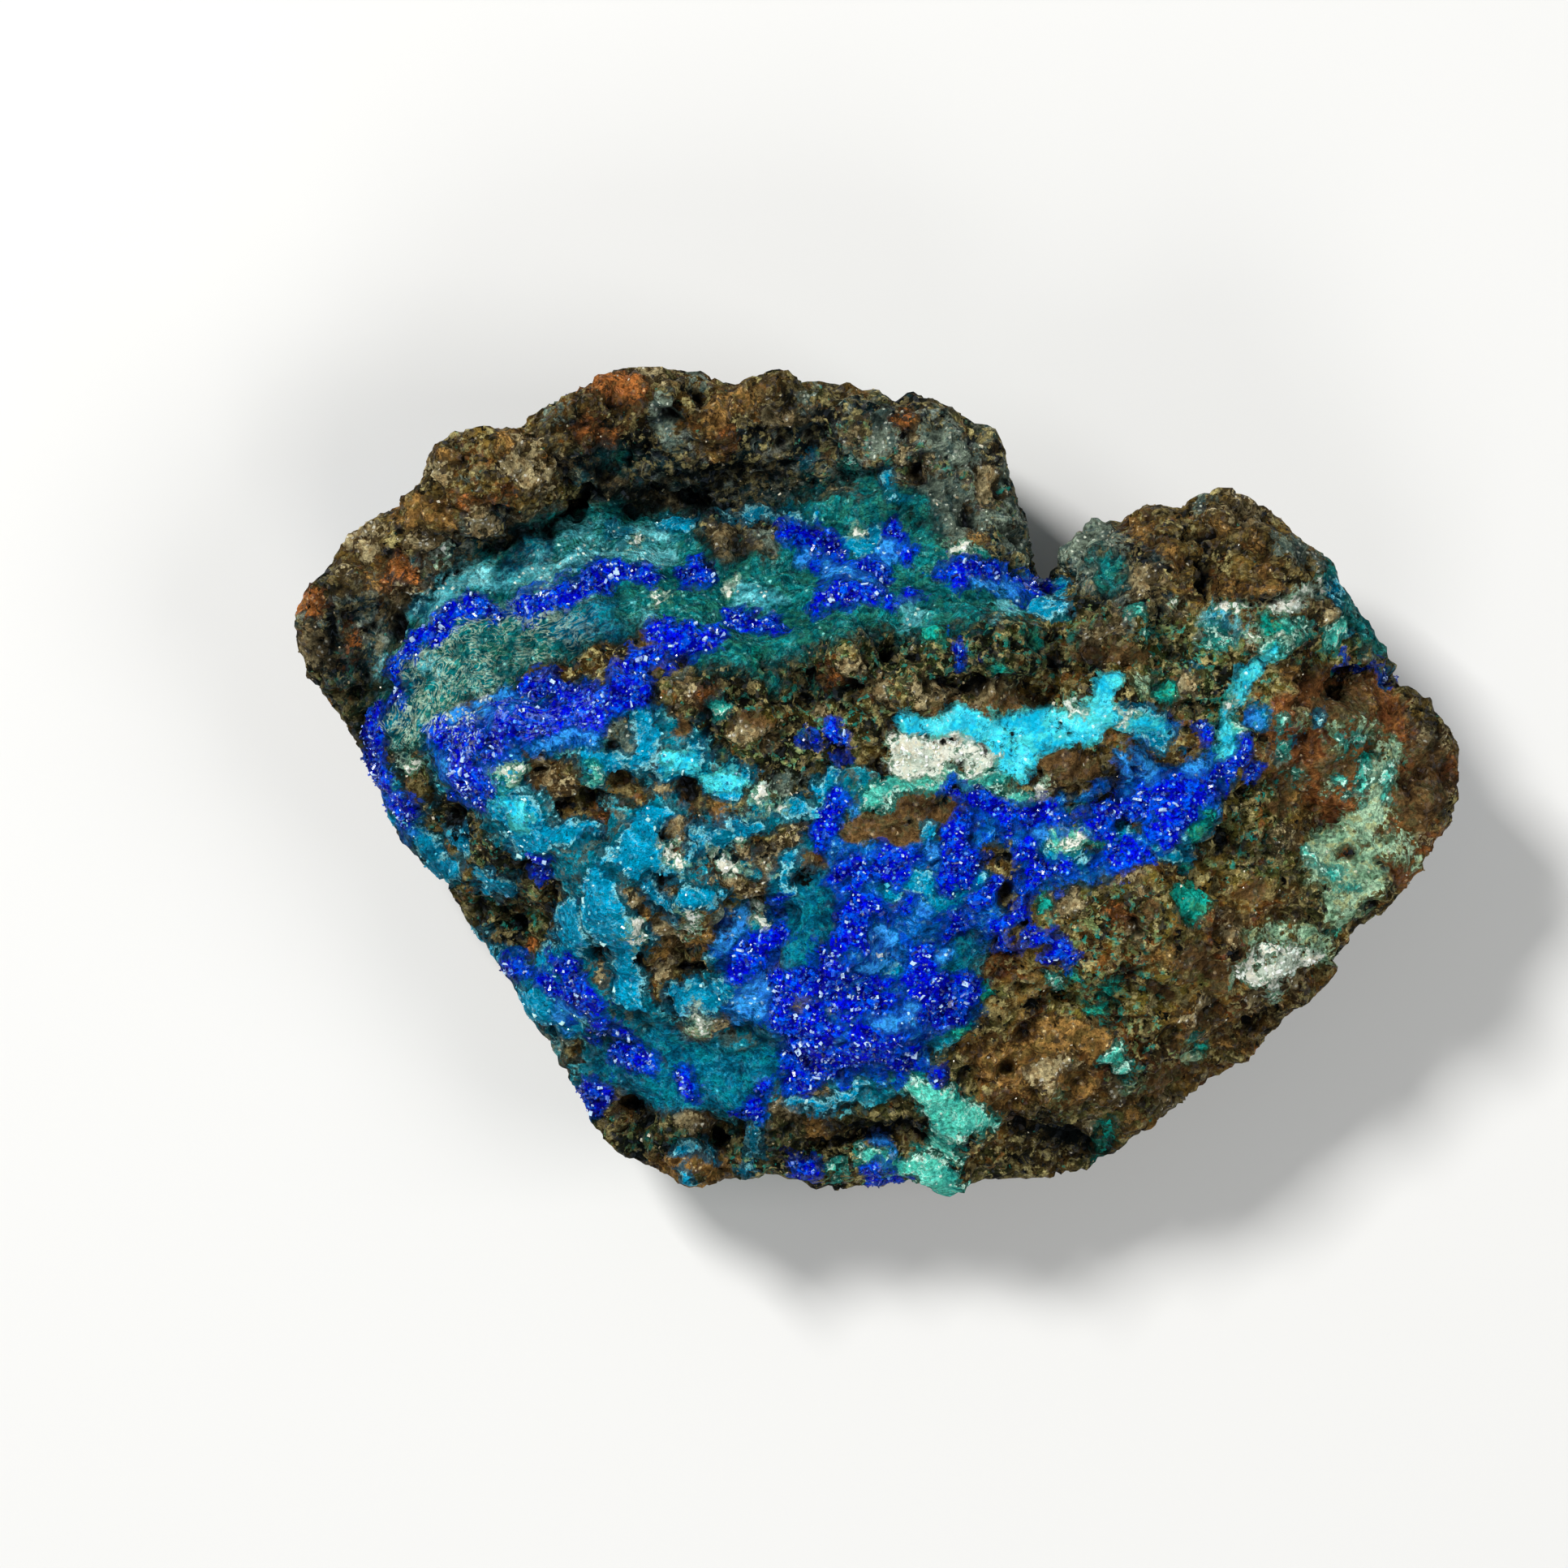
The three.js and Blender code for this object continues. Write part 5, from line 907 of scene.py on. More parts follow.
def facets(points, size, seed):
    """Flat tilted faces, one to a grain, from about -0.5 to 0.5, and the gap between grains."""
    _, gap, number, way = grains(points, size, seed)
    tilt = lattice(np.floor(number[:, None] * TILT_SPREAD), seed) - 0.5
    return (way * tilt).sum(axis=1) + 0.3 * (number - 0.5), gap


def within(fields, low, high, *names):
    """From 0 outside all of these minerals to 1 well inside one of them."""
    return smoothstep(low, high, np.maximum.reduce([fields[name] for name in names]))


def relief(points, normals, fields):
    """How far the surface stands out from the plain stone, in millimetres."""
    crust = within(fields, -0.15, 0.25, *RAISED)
    ground = within(fields, -0.1, 0.3, "crust", "blue")
    shelf = within(fields, -0.2, 0.6, "teal")
    smooth = np.maximum(within(fields, -0.1, 0.3, "chocolate", "vein"),
                        1.6 * within(fields, 0.0, 0.6, "hollow"))
    smooth = np.maximum(smooth, 0.8 * within(fields, 0.0, 0.6, "red"))
    matrix = (1 - crust) * (1 - 0.6 * shelf) * (1 - 0.5 * smooth) * (1 - 0.5 * ground)
    flank = 0.5 + 0.5 * smoothstep(0.0, 0.5, normals[:, 2])

    # swells and wrinkles, stronger on the bare rock
    out = 0.2 * ridged(points, 3.2, 100)
    out += flank * (0.24 * matrix + 0.08) * ridged(points, 1.5, 104)
    out += flank * (0.16 * matrix + 0.06) * layered(points, 0.8, 108, layers=2)

    # blocks and pits of the bare rock, with bent outlines
    bent = points + 0.35 * np.stack([noise(points, 1.1, 90 + axis) for axis in range(3)], axis=1)
    for size, seed, height, cleft, width in CLEFT_BLOCKS:
        block, gap = facets(bent, size, seed)
        out += flank * matrix * (height * block - cleft * smoothstep(width, 0.0, gap))
    near, _, number, _ = grains(bent, PIT_SIZE, PIT_SEED)
    out -= PIT_DEPTH * flank * matrix * smoothstep(0.6, 0.25, near) * (number > PIT_FROM)

    # crystal faces of the crusts, boldest on the azurite
    face, _ = facets(points, 0.8, 9)
    azurite = within(fields, -0.1, 0.25, "azurite")
    out += azurite * (0.1 + 0.42 * face)
    out += crust * (1 - azurite) * (0.08 + 0.10 * face)
    out += 0.08 * ground
    out -= DARK_DEPTH * within(fields, -0.12, 0.35, "dark")
    return out + SKIN_LIFT


def make_rock():
    obj = copy_of_stone()
    points, normals = read_mesh(obj)
    fields = mineral_fields(points, normals)
    out = relief(points, normals, fields)
    resting = smoothstep(0.5, 0.0, points[:, 2])
    out = out * (1 - resting) - REST_INSET * resting
    write_mesh(obj, inside_cad_box(points + normals * out[:, None]))
    for name, values in fields.items():
        add_field(obj, name, values)
    add_field(obj, "height", np.clip(out, -1, 1))
    along, across = shelf_place(seen_plan(points))
    add_field(obj, "along", along)
    add_field(obj, "across", across)
    for polygon in obj.data.polygons:
        polygon.use_smooth = True
    return obj


class Graph:
    """A material's nodes, made by short calls. A value may be a number or a socket."""

    def __init__(self, name):
        self.material = bpy.data.materials.new(name)
        self.material.use_nodes = True
        self.tree = self.material.node_tree
        self.tree.nodes.clear()
        self.place = self.node("ShaderNodeTexCoord").outputs["Object"]

    def node(self, kind, inputs=(), **settings):
        made = self.tree.nodes.new(kind)
        for key, value in settings.items():
            setattr(made, key, value)
        for key, value in dict(inputs).items():
            self.give(made.inputs[key], value)
        return made

    def give(self, socket, value):
        if isinstance(value, bpy.types.NodeSocket):
            self.tree.links.new(value, socket)
        else:
            socket.default_value = value

    def math(self, operation, a, b=0.0, c=0.0):
        return self.node("ShaderNodeMath", {0: a, 1: b, 2: c}, operation=operation).outputs[0]

    def plus(self, a, b):
        return self.math("ADD", a, b)

    def minus(self, a, b):
        return self.math("SUBTRACT", a, b)

    def times(self, a, b):
        return self.math("MULTIPLY", a, b)

    def scaled(self, value, factor, added):
        return self.math("MULTIPLY_ADD", value, factor, added)

    def larger(self, a, b):
        return self.math("MAXIMUM", a, b)

    def step(self, value, low, high, to_low=0.0, to_high=1.0):
        """Eases from to_low to to_high while the value goes from low to high."""
        inputs = {"Value": value, "From Min": low, "From Max": high, "To Min": to_low,
                  "To Max": to_high}
        kind = "SMOOTHSTEP"
        return self.node("ShaderNodeMapRange", inputs, interpolation_type=kind).outputs[0]

    def field(self, name):
        return self.node("ShaderNodeAttribute", attribute_name=name).outputs["Fac"]

    def noise(self, size, detail=2.0, roughness=0.5, distortion=0.0, place=None):
        inputs = {"Vector": place or self.place, "Scale": 1 / (size * MM), "Detail": detail,
                  "Roughness": roughness, "Distortion": distortion}
        return self.node("ShaderNodeTexNoise", inputs).outputs["Fac"]

    def cells(self, size, place):
        return self.node("ShaderNodeTexVoronoi", {"Vector": place, "Scale": 1 / (size * MM)})

    def parts(self, colour):
        return self.node("ShaderNodeSeparateColor", {0: colour}).outputs

    def random_of(self, cells, channel=0):
        return self.parts(cells.outputs["Color"])[channel]

    def lines(self, noise, level, width):
        """Thin winding lines where a noise passes a level."""
        away = self.math("ABSOLUTE", self.minus(noise, level))
        return self.step(away, width, width * 0.3)

    def vector(self, operation, a, b=(0.0, 0.0, 0.0), scale=1.0):
        inputs = {0: a, "Scale": scale} if operation == "SCALE" else {0: a, 1: b}
        return self.node("ShaderNodeVectorMath", inputs, operation=operation).outputs[0]

    def moved(self, way, scale):
        """The surface's own place, moved along a vector."""
        return self.vector("ADD", self.place, self.vector("SCALE", way, scale=scale))

    def mix(self, factor, a, b, blend="MIX"):
        """Colour a where the factor is 0, and b, or a blended with b, where it is 1."""
        made = self.node("ShaderNodeMix", data_type="RGBA", blend_type=blend)
        # the colour inputs are the seventh and eighth of this node's inputs
        for socket, value in ((0, factor), (6, a), (7, b)):
            self.give(made.inputs[socket], value)
        return made.outputs[2]

    def finish(self, inputs):
        """Ends the material in a shader with those inputs."""
        shader = self.node("ShaderNodeBsdfPrincipled", inputs)
        self.node("ShaderNodeOutputMaterial", {"Surface": shader.outputs["BSDF"]})
        return self.material


def rgb(red, green, blue):
    """A display colour, 0 to 255 each, as linear RGBA."""
    parts = np.array([red, green, blue]) / 255
    linear = np.where(parts <= 0.04045, parts / 12.92, ((parts + 0.055) / 1.055) ** 2.4)
    return (*linear.tolist(), 1.0)


# Colours of the rock that the minerals grew on, of its flecks and dark places, and of the painted
# shade in crevices, on low ground and on dim and shaded parts
ROCK = {
    "brown": rgb(98, 74, 30), "green brown": rgb(86, 86, 44), "hole": rgb(18, 20, 10),
    "warm red": rgb(112, 62, 26), "warm tan": rgb(138, 106, 48),
    "warm olive": rgb(108, 110, 58), "warm dark": rgb(60, 44, 20),
    "streak dark": rgb(32, 28, 12), "streak light": rgb(124, 100, 46),
    "slate brown": rgb(58, 58, 46), "slate teal": rgb(34, 74, 76),
    "slate pale": rgb(144, 158, 144), "slate dark": rgb(4, 12, 14),
    "pale block": rgb(132, 118, 76), "dark block": rgb(22, 18, 10), "gap": rgb(14, 11, 7),
    "stain": rgb(120, 78, 34), "pore": rgb(9, 7, 5), "dark fleck": rgb(10, 11, 5),
    "brown fleck": rgb(92, 78, 36), "tan fleck": rgb(194, 182, 122),
    "green fleck": rgb(116, 132, 80), "teal fleck": rgb(30, 132, 116),
    # Crack and squiggle are the rock's own lines. The colours after them paint shade: the black of
    # cracks, pits and crevices, partly their own dark, and the dark of low, dim and shaded ground.
    "crack": rgb(10, 26, 26), "squiggle": rgb(176, 200, 172), "crack_and_shade": rgb(9, 9, 5),
    "low": rgb(10, 9, 7), "dim_shade": rgb(10, 14, 15), "shade": rgb(5, 11, 9),
}
# Tint of the rock among green grains, and of its reflections
GREEN_TINT = (0.62, 0.92, 0.74, 1.0)
BLUISH = (0.6, 0.75, 1.0, 1.0)
# Sizes of the noises and cells that the rock's colours share, in millimetres
WIDE, COARSE, MIDDLE, FINE = 4.5, 2.6, 0.8, 0.2
WAVE, STREAKS, FIBRE, SWIRL = 0.5, 0.7, 0.55, 0.6
BLOCK, GRAIN = 0.5, 0.25


class Layer(NamedTuple):
    """How a mineral looks where it covers what lies below it."""

    name: str
    dark: tuple
    light: tuple
    speck: tuple
    share: float  # of the grains that are specks
    edge: float  # softness of the edge, in millimetres
    grainy: float  # how much the edge follows single grains
    fringe: tuple = None
    width: float = 0  # of the fringe, in millimetres


# The minerals in the order in which they lie on each other
LAYERS = [
    Layer("red", rgb(54, 32, 14), rgb(132, 86, 44), rgb(176, 140, 92), 0.1, 0.4, 0.8),
    Layer("crust", rgb(0, 44, 58), rgb(0, 122, 142), rgb(96, 196, 200), 0.06, 0.1, 0.6,
          rgb(12, 44, 42), 0.35),
    Layer("blue", rgb(0, 38, 92), rgb(8, 100, 180), rgb(110, 190, 230), 0.1, 0.15, 0.6,
          rgb(4, 56, 70), 0.4),
    Layer("grey", rgb(30, 42, 38), rgb(122, 136, 118), rgb(196, 204, 184), 0.24, 0.2, 1.6),
    Layer("ochre", rgb(84, 58, 26), rgb(156, 118, 62), rgb(198, 172, 116), 0.16, 0.15, 1.6,
          rgb(66, 48, 24), 0.4),
    Layer("rust", rgb(92, 56, 26), rgb(188, 114, 54), rgb(212, 164, 104), 0.12, 0.15, 1.6,
          rgb(66, 42, 20), 0.4),
    Layer("tan", rgb(80, 68, 42), rgb(164, 150, 110), rgb(218, 214, 192), 0.22, 0.1, 1.8,
          rgb(52, 42, 26), 0.4),
    Layer("chocolate", rgb(44, 30, 14), rgb(106, 80, 46), rgb(150, 128, 90), 0.08, 0.15, 0.5),
    Layer("teal", rgb(0, 58, 62), rgb(16, 134, 134), rgb(116, 196, 184), 0.08, 0.3, 1.0,
          rgb(10, 50, 46), 0.5),
    Layer("hollow", rgb(0, 48, 70), rgb(0, 98, 126), rgb(60, 170, 190), 0.03, 0.3, 0.5,
          rgb(6, 54, 62), 0.4),
    Layer("band", rgb(20, 118, 132), rgb(122, 204, 208), rgb(214, 230, 214), 0.16, 0.4, 0.8),
    Layer("coat", rgb(84, 124, 94), rgb(156, 190, 156), rgb(206, 214, 180), 0.12, 0.12, 1.4,
          rgb(72, 64, 32), 0.3),
    Layer("turquoise", rgb(0, 80, 110), rgb(0, 160, 204), rgb(150, 224, 226), 0.06, 0.07, 0.5,
          rgb(0, 76, 88), 0.3),
    Layer("mint", rgb(6, 124, 116), rgb(88, 198, 176), rgb(214, 240, 222), 0.12, 0.08, 0.9,
          rgb(20, 88, 76), 0.3),
    Layer("vein", rgb(8, 168, 204), rgb(70, 214, 228), rgb(190, 240, 236), 0.08, 0.07, 0.5,
          rgb(60, 160, 150), 0.25),
    Layer("jade", rgb(0, 104, 92), rgb(18, 168, 150), rgb(130, 214, 190), 0.08, 0.1, 0.8,
          rgb(10, 60, 44), 0.25),
    Layer("pale", rgb(168, 184, 166), rgb(222, 222, 206), rgb(244, 244, 236), 0.14, 0.12, 1.3,
          rgb(90, 140, 112), 0.3),
    Layer("sky", rgb(0, 62, 166), rgb(52, 148, 230), rgb(176, 222, 244), 0.16, 0.15, 0.8,
          rgb(0, 80, 124), 0.3),
    Layer("azurite", rgb(0, 0, 76), rgb(0, 10, 206), rgb(90, 160, 250), 0.2, 0.07, 0.5,
          rgb(0, 50, 150), 0.3),
]
# A second colour that each mineral takes in patches
PATCHES = {
    "azurite": rgb(0, 92, 224), "turquoise": rgb(0, 106, 126), "vein": rgb(70, 200, 196),
    "jade": rgb(60, 140, 96), "teal": rgb(36, 112, 92), "band": rgb(60, 160, 168),
    "coat": rgb(146, 146, 92), "chocolate": rgb(76, 74, 46), "pale": rgb(204, 196, 168),
    "grey": rgb(40, 68, 68), "mint": rgb(60, 176, 150), "hollow": rgb(6, 120, 130),
    "sky": rgb(40, 140, 210), "crust": rgb(84, 82, 56), "red": rgb(88, 46, 24),
    "tan": rgb(110, 86, 50), "ochre": rgb(92, 80, 40), "blue": rgb(0, 60, 190),
    "rust": rgb(112, 84, 46),
}
# Minerals with thin pale and dark lines, and those with a pale rim that is partly a painted
# highlight along the edge
CRUSTS = ("crust", "blue", "turquoise", "vein", "teal", "coat", "mint", "hollow")
RIMMED = ("turquoise", "mint", "pale", "crust")


def rock_textures(g):
    """The noises, cells and patterns that the rock's colours share."""
    t = SimpleNamespace()
    t.wide = g.noise(WIDE, 3.0, 0.6, 0.6)
    t.coarse = g.noise(COARSE, 5.0, 0.65, 0.4)
    t.middle = g.noise(MIDDLE, 4.0, 0.62, 0.3)
    t.fine = g.noise(FINE, 3.0, 0.65)
    wave = g.noise(WAVE, 3.0, 0.6)
    t.wave = wave.node.outputs["Color"]
    bend = g.vector("SUBTRACT", t.wave, (0.5, 0.5, 0.5))
    t.block = g.cells(BLOCK, g.moved(bend, MM))
    t.grain = g.cells(GRAIN, g.moved(bend, GRAIN * MM))
    t.streaks = g.noise(STREAKS, 4.0, 0.7, 0.5, g.vector("MULTIPLY", g.place, (0.35, 1.0, 0.6)))

    # fibres that follow the shelf's bands
    along = g.times(g.field("along"), 0.22 * MM)
    across = g.times(g.field("across"), MM)
    t.fibre_place = g.node("ShaderNodeCombineXYZ", {0: along, 1: across}).outputs[0]
    t.fibre = g.noise(FIBRE, 4.0, 0.65, 0.6, t.fibre_place)

    # tones from dark to light, and where a mineral takes its second colour
    t.broad = g.step(t.coarse, 0.36, 0.6)
    tone = g.plus(g.times(t.coarse, 0.5), g.times(t.middle, 0.5))
    # painted light and shade: the tone is lighter where the relief stands high and darker in its
    # hollows
    t.tone = g.step(g.scaled(g.field("height"), 0.12, tone), 0.36, 0.6)
    banded = g.scaled(g.step(t.fibre, 0.36, 0.64), 0.6, g.times(g.random_of(t.grain), 0.4))
    t.banded = g.times(banded, g.step(t.coarse, 0.38, 0.56, 0.3, 1.1))
    patches = g.scaled(t.middle, 0.5, g.times(wave, 0.5))
    t.patches = g.times(g.step(patches, 0.5, 0.56), 0.7)

    # thin lines, round specks that are partly painted glints, and what makes an edge ragged and
    # grainy
    t.pale_lines = g.times(g.lines(t.middle, 0.5, 0.018), g.step(t.coarse, 0.45, 0.6))
    t.dark_lines = g.lines(t.coarse, 0.47, 0.006)
    t.specks = g.step(t.grain.outputs["Distance"], 0.42, 0.25)
    t.ragged = g.plus(g.scaled(t.fine, 0.5, -0.25), g.scaled(t.middle, 0.5, -0.25))
    push = g.scaled(g.random_of(t.grain, 2), 0.3, -0.15)
    t.push = g.scaled(g.random_of(t.block, 2), 0.3, g.plus(push, -0.15))
    return t


def ground_colour(g, t):
    """Iron-stained rock: plain, warm, olive and slaty ground. Also gives where it is slaty."""
    plain = g.mix(g.step(t.wide, 0.46, 0.56), ROCK["brown"], ROCK["green brown"])
    ground = g.mix(g.step(t.coarse, 0.38, 0.64), ROCK["hole"], plain)
    warm = g.mix(g.step(t.wide, 0.42, 0.5), ROCK["warm red"], ROCK["warm tan"])
    warm = g.mix(g.step(t.wide, 0.54, 0.62), warm, ROCK["warm olive"])
    warm = g.mix(g.step(t.coarse, 0.58, 0.36), warm, ROCK["warm dark"])
    ground = g.mix(g.step(g.field("warm"), -1.2, 1.2), ground, warm)
    olive = g.mix(g.step(t.streaks, 0.4, 0.6), ROCK["streak dark"], ROCK["streak light"])
    ground = g.mix(g.step(g.field("olive"), -0.6, 0.6), ground, olive)
    green = g.step(g.field("greenish"), -1.0, 1.0, 0.0, 0.85)
    ground = g.mix(green, ground, GREEN_TINT, "MULTIPLY")
    slate = g.mix(g.step(t.wide, 0.42, 0.52), ROCK["slate brown"], ROCK["slate teal"])
    slate = g.mix(g.step(t.middle, 0.48, 0.58), slate, ROCK["slate pale"])
    slate = g.mix(g.step(t.coarse, 0.58, 0.4), slate, ROCK["slate dark"])
    slaty = g.step(g.field("slate"), -0.5, 0.5)
    return g.mix(slaty, ground, slate), slaty


def add_blocks(g, t, ground, slaty):
    """Blocks, each with its own tone, darker towards the gaps, some stained or with a pore."""
    tone = g.random_of(t.block)
    from_centre = t.block.outputs["Distance"]
    ground = g.mix(g.step(tone, 0.6, 1.2), ground, ROCK["pale block"])
    ground = g.mix(g.step(tone, 0.3, -0.2), ground, ROCK["dark block"])
    ground = g.mix(g.times(g.step(from_centre, 0.5, 0.85), 0.5), ground, ROCK["gap"])
    stain = g.scaled(g.random_of(t.block, 1), 0.3, g.times(t.coarse, 0.5))
    stained = g.times(g.step(stain, 0.5, 0.58), g.step(slaty, 0.0, 1.0, 1.0, 0.3))
    ground = g.mix(stained, ground, ROCK["stain"])
    pores = g.times(g.step(g.random_of(t.block, 2), 0.8, 0.84), g.step(from_centre, 0.36, 0.2))
    return g.mix(pores, ground, ROCK["pore"])


def add_flecks(g, t, ground, slaty):
    """Dark and tan flecks and, where the crust is near, grey green and teal ones."""
    red, green, blue = g.parts(t.wave)[:3]
    lively = g.larger(g.step(g.noise(3.0, 3.0, 0.6), 0.42, 0.58, 0.25, 1.0),
                      g.step(g.field("greenish"), -0.5, 1.0, 0.0, 0.9))
    lively = g.times(lively, g.step(slaty, 0.0, 1.0, 1.0, 0.85))
    dark = g.times(g.step(blue, 0.455, 0.385), lively)
    ground = g.mix(dark, ground, ROCK["dark fleck"])
    busy = g.scaled(g.step(t.coarse, 0.4, 0.58), 0.06, g.plus(red, -0.03))
    pale = g.times(g.step(busy, 0.53, 0.61), lively)
    ground = g.mix(pale, ground, g.mix(t.fine, ROCK["brown fleck"], ROCK["tan fleck"]))
    past = g.minus(green, g.step(g.field("greenish"), -1.0, 1.5, 0.66, 0.53))
    hue = g.mix(g.step(t.middle, 0.44, 0.56), ROCK["green fleck"], ROCK["teal fleck"])
    return g.mix(g.times(g.step(past, 0.0, 0.05), 0.8), ground, hue)


def mineral_body(g, t, layer, depth):
    """A mineral's own colours: tone, patches, a pale rim that is partly a painted highlight, lines,
    and specks that are partly painted glints.
    """
    tones = {"teal": t.banded, "band": t.banded, "vein": t.broad, "pale": t.broad}
    body = g.mix(tones.get(layer.name, t.tone), layer.dark, layer.light)
    body = g.mix(t.patches, body, PATCHES[layer.name])
    if layer.name in RIMMED:
        # pale rim inside the edge, partly a painted highlight where the edge catches the light
        pale_rim_and_highlight = g.times(g.step(depth, 0.24, 0.06), g.step(t.middle, 0.46, 0.54))
        body = g.mix(g.times(pale_rim_and_highlight, 0.7), body, layer.speck)
    if layer.name in CRUSTS:
        body = g.mix(g.times(t.pale_lines, 0.4), body, layer.speck)
        body = g.mix(g.times(t.dark_lines, 0.7), body, ROCK["crack"])
    # specks: pale grains of the mineral, partly painted glints
    chosen = g.step(g.random_of(t.grain, 1), 1 - layer.share, 1.02 - layer.share)
    return g.mix(g.times(t.specks, chosen), body, layer.speck)


def add_minerals(g, t, colour):
    """Lays each mineral on the rock. Also gives where each one shows."""
    masks = {}
    for layer in LAYERS:
        depth = g.scaled(t.push, layer.grainy, g.plus(t.ragged, g.field(layer.name)))
        if layer.name == "band":
            depth = g.scaled(t.fibre, 1.6, g.plus(depth, -0.8))
        if layer.fringe:
            skirt = g.step(depth, -layer.width - layer.edge, -layer.width + layer.edge)
            colour = g.mix(g.times(skirt, 0.8), colour, g.mix(t.tone, layer.dark, layer.fringe))
        masks[layer.name] = g.step(depth, -layer.edge, layer.edge)
        colour = g.mix(masks[layer.name], colour, mineral_body(g, t, layer, depth))
    return colour, masks


def add_squiggles(g, t, colour, masks):
    """Fine pale squiggles on the shelf and on the azurite at its foot."""
    along, across = g.field("along"), g.field("across")
    swirl = g.noise(SWIRL, 3.0, 0.6, 2.0, g.vector("MULTIPLY", t.fibre_place, (2.2, 1.0, 1.0)))
    swirl = g.times(g.lines(swirl, 0.5, 0.06), g.step(t.coarse, 0.4, 0.54))
    left = g.times(g.step(along, 18.0, 13.0), g.step(across, 0.4, -0.8, 0.25, 1.0))
    shelf = g.larger(masks["teal"], masks["band"])
    bare = g.minus(shelf, g.larger(masks["azurite"], masks["sky"]))
    foot = g.times(g.step(across, -8.5, -6.0), g.step(along, 1.0, 3.0))
    foot = g.times(g.times(g.step(across, -1.2, -2.4), foot), masks["azurite"])
    foot = g.times(foot, g.step(along, 14.0, 6.0, 0.2, 0.9))
    where = g.larger(g.step(bare, 0.2, 1.0, 0.0, 0.7), foot)
    return g.mix(g.times(g.times(swirl, left), where), colour, ROCK["squiggle"])


def add_grit_and_painted_shade(g, t, colour, masks):
    """Grit all over, painted lighter on crests and darker in hollows; black cracks with painted
    shade in pits and crevices; painted shade on low, dim and shaded ground.
    """
    grit_and_relief_shade = g.step(t.fine, 0.32, 0.68, 0.52, 1.44)
    grit_and_relief_shade = g.times(grit_and_relief_shade, g.step(g.random_of(t.grain), 0.0, 1.0, 0.75, 1.25))
    # painted light and shade: the grit is lighter on crests and darker in hollows
    grit_and_relief_shade = g.times(grit_and_relief_shade, g.step(g.field("height"), -0.45, 0.55, 0.6, 1.4))
    grit_and_relief_shade = g.node("ShaderNodeCombineColor", {0: grit_and_relief_shade, 1: grit_and_relief_shade, 2: grit_and_relief_shade}).outputs[0]
    clean = g.larger(g.larger(masks["vein"], masks["pale"]), masks["turquoise"])
    grit_and_shade_share = g.minus(g.step(clean, 0.0, 1.0, 0.85, 0.45), g.times(masks["pale"], 0.2))
    colour = g.mix(grit_and_shade_share, colour, grit_and_relief_shade, "MULTIPLY")
    # the black of cracks, and painted shade in pits and crevices
    crack_and_shade = g.scaled(t.push, 1.2, g.plus(t.ragged, g.field("dark")))
    colour = g.mix(g.step(crack_and_shade, -0.2, 0.25), colour, ROCK["crack_and_shade"])
    # painted shade: where the relief lies low, in its hollows, the colour darkens
    colour = g.mix(g.step(g.field("height"), -0.15, -0.8), colour, ROCK["low"])
    # painted shade over dim and shaded ground
    for name, reach, strength in (("dim_shade", 1.2, 0.2), ("shade", 0.7, 0.68)):
        share = g.times(g.step(g.field(name), -reach, reach), strength)
        colour = g.mix(share, colour, ROCK[name])
    return colour


def rock_surface(g, t, masks):
    """Flat crystal faces, each grain turned its own way, some of them glossy."""
    glassy = g.larger(masks["vein"], masks["pale"])
    turn = g.vector("SUBTRACT", t.grain.outputs["Color"], (0.5, 0.5, 0.5))
    sparkle = g.scaled(glassy, -0.25, g.scaled(masks["azurite"], 0.5, 0.35))
    normal = g.vector("ADD", g.node("ShaderNodeNewGeometry").outputs["Normal"],
                      g.vector("SCALE", turn, scale=sparkle))
    bump = g.node("ShaderNodeBump", {
        "Height": g.scaled(t.fine, 0.4, t.middle), "Strength": g.step(glassy, 0.0, 1.0, 1.0, 0.4),
        "Distance": 0.6 * MM, "Normal": g.vector("NORMALIZE", normal),
    }).outputs[0]
    gloss = g.larger(masks["azurite"], g.times(masks["vein"], 0.6))
    roughness = g.scaled(g.random_of(t.grain), -0.14, g.scaled(gloss, -0.35, 0.75))
    shine = g.times(g.step(g.random_of(t.grain, 1), 0.7, 1.0, 0.04, 0.5),
                    g.step(masks["turquoise"], 0.0, 1.0, 1.0, 0.5))
    return {"Roughness": roughness, "Normal": bump, "Specular IOR Level": shine, "IOR": 1.5,
            "Specular Tint": BLUISH}


def rock_material():
    g = Graph("rock")
    t = rock_textures(g)
    colour, slaty = ground_colour(g, t)
    colour = add_blocks(g, t, colour, slaty)
    colour = add_flecks(g, t, colour, slaty)
    colour, masks = add_minerals(g, t, colour)
    colour = add_squiggles(g, t, colour, masks)
    colour = add_grit_and_painted_shade(g, t, colour, masks)
    return g.finish({"Base Color": colour, **rock_surface(g, t, masks)})


class CrystalKind(NamedTuple):
    """Small crystals that stand on the rock, on a mineral or else on bare rock."""

    mineral: str
    count: int
    lengths: tuple  # shortest and longest, in millimetres
    slenderness: float
    dark: tuple
    light: tuple
    glint: tuple  # colour of the palest faces, a painted glint


CRYSTALS = {
    "azurite_crystals": CrystalKind("azurite", 6500, (0.16, 0.44), 0.42, rgb(0, 0, 80),
                                    rgb(14, 88, 228), rgb(190, 220, 250)),
    "turquoise_grains": CrystalKind("turquoise", 900, (0.1, 0.26), 0.9, rgb(0, 100, 140),
                                    rgb(60, 190, 212), rgb(190, 236, 232)),
    "pale_grains": CrystalKind("pale", 400, (0.12, 0.32), 0.6, rgb(170, 200, 184),
                               rgb(244, 244, 236), rgb(250, 250, 246)),
    "quartz_grains": CrystalKind(None, 1500, (0.08, 0.18), 0.8, rgb(88, 74, 46),
                                 rgb(170, 156, 122), rgb(216, 208, 184)),
}
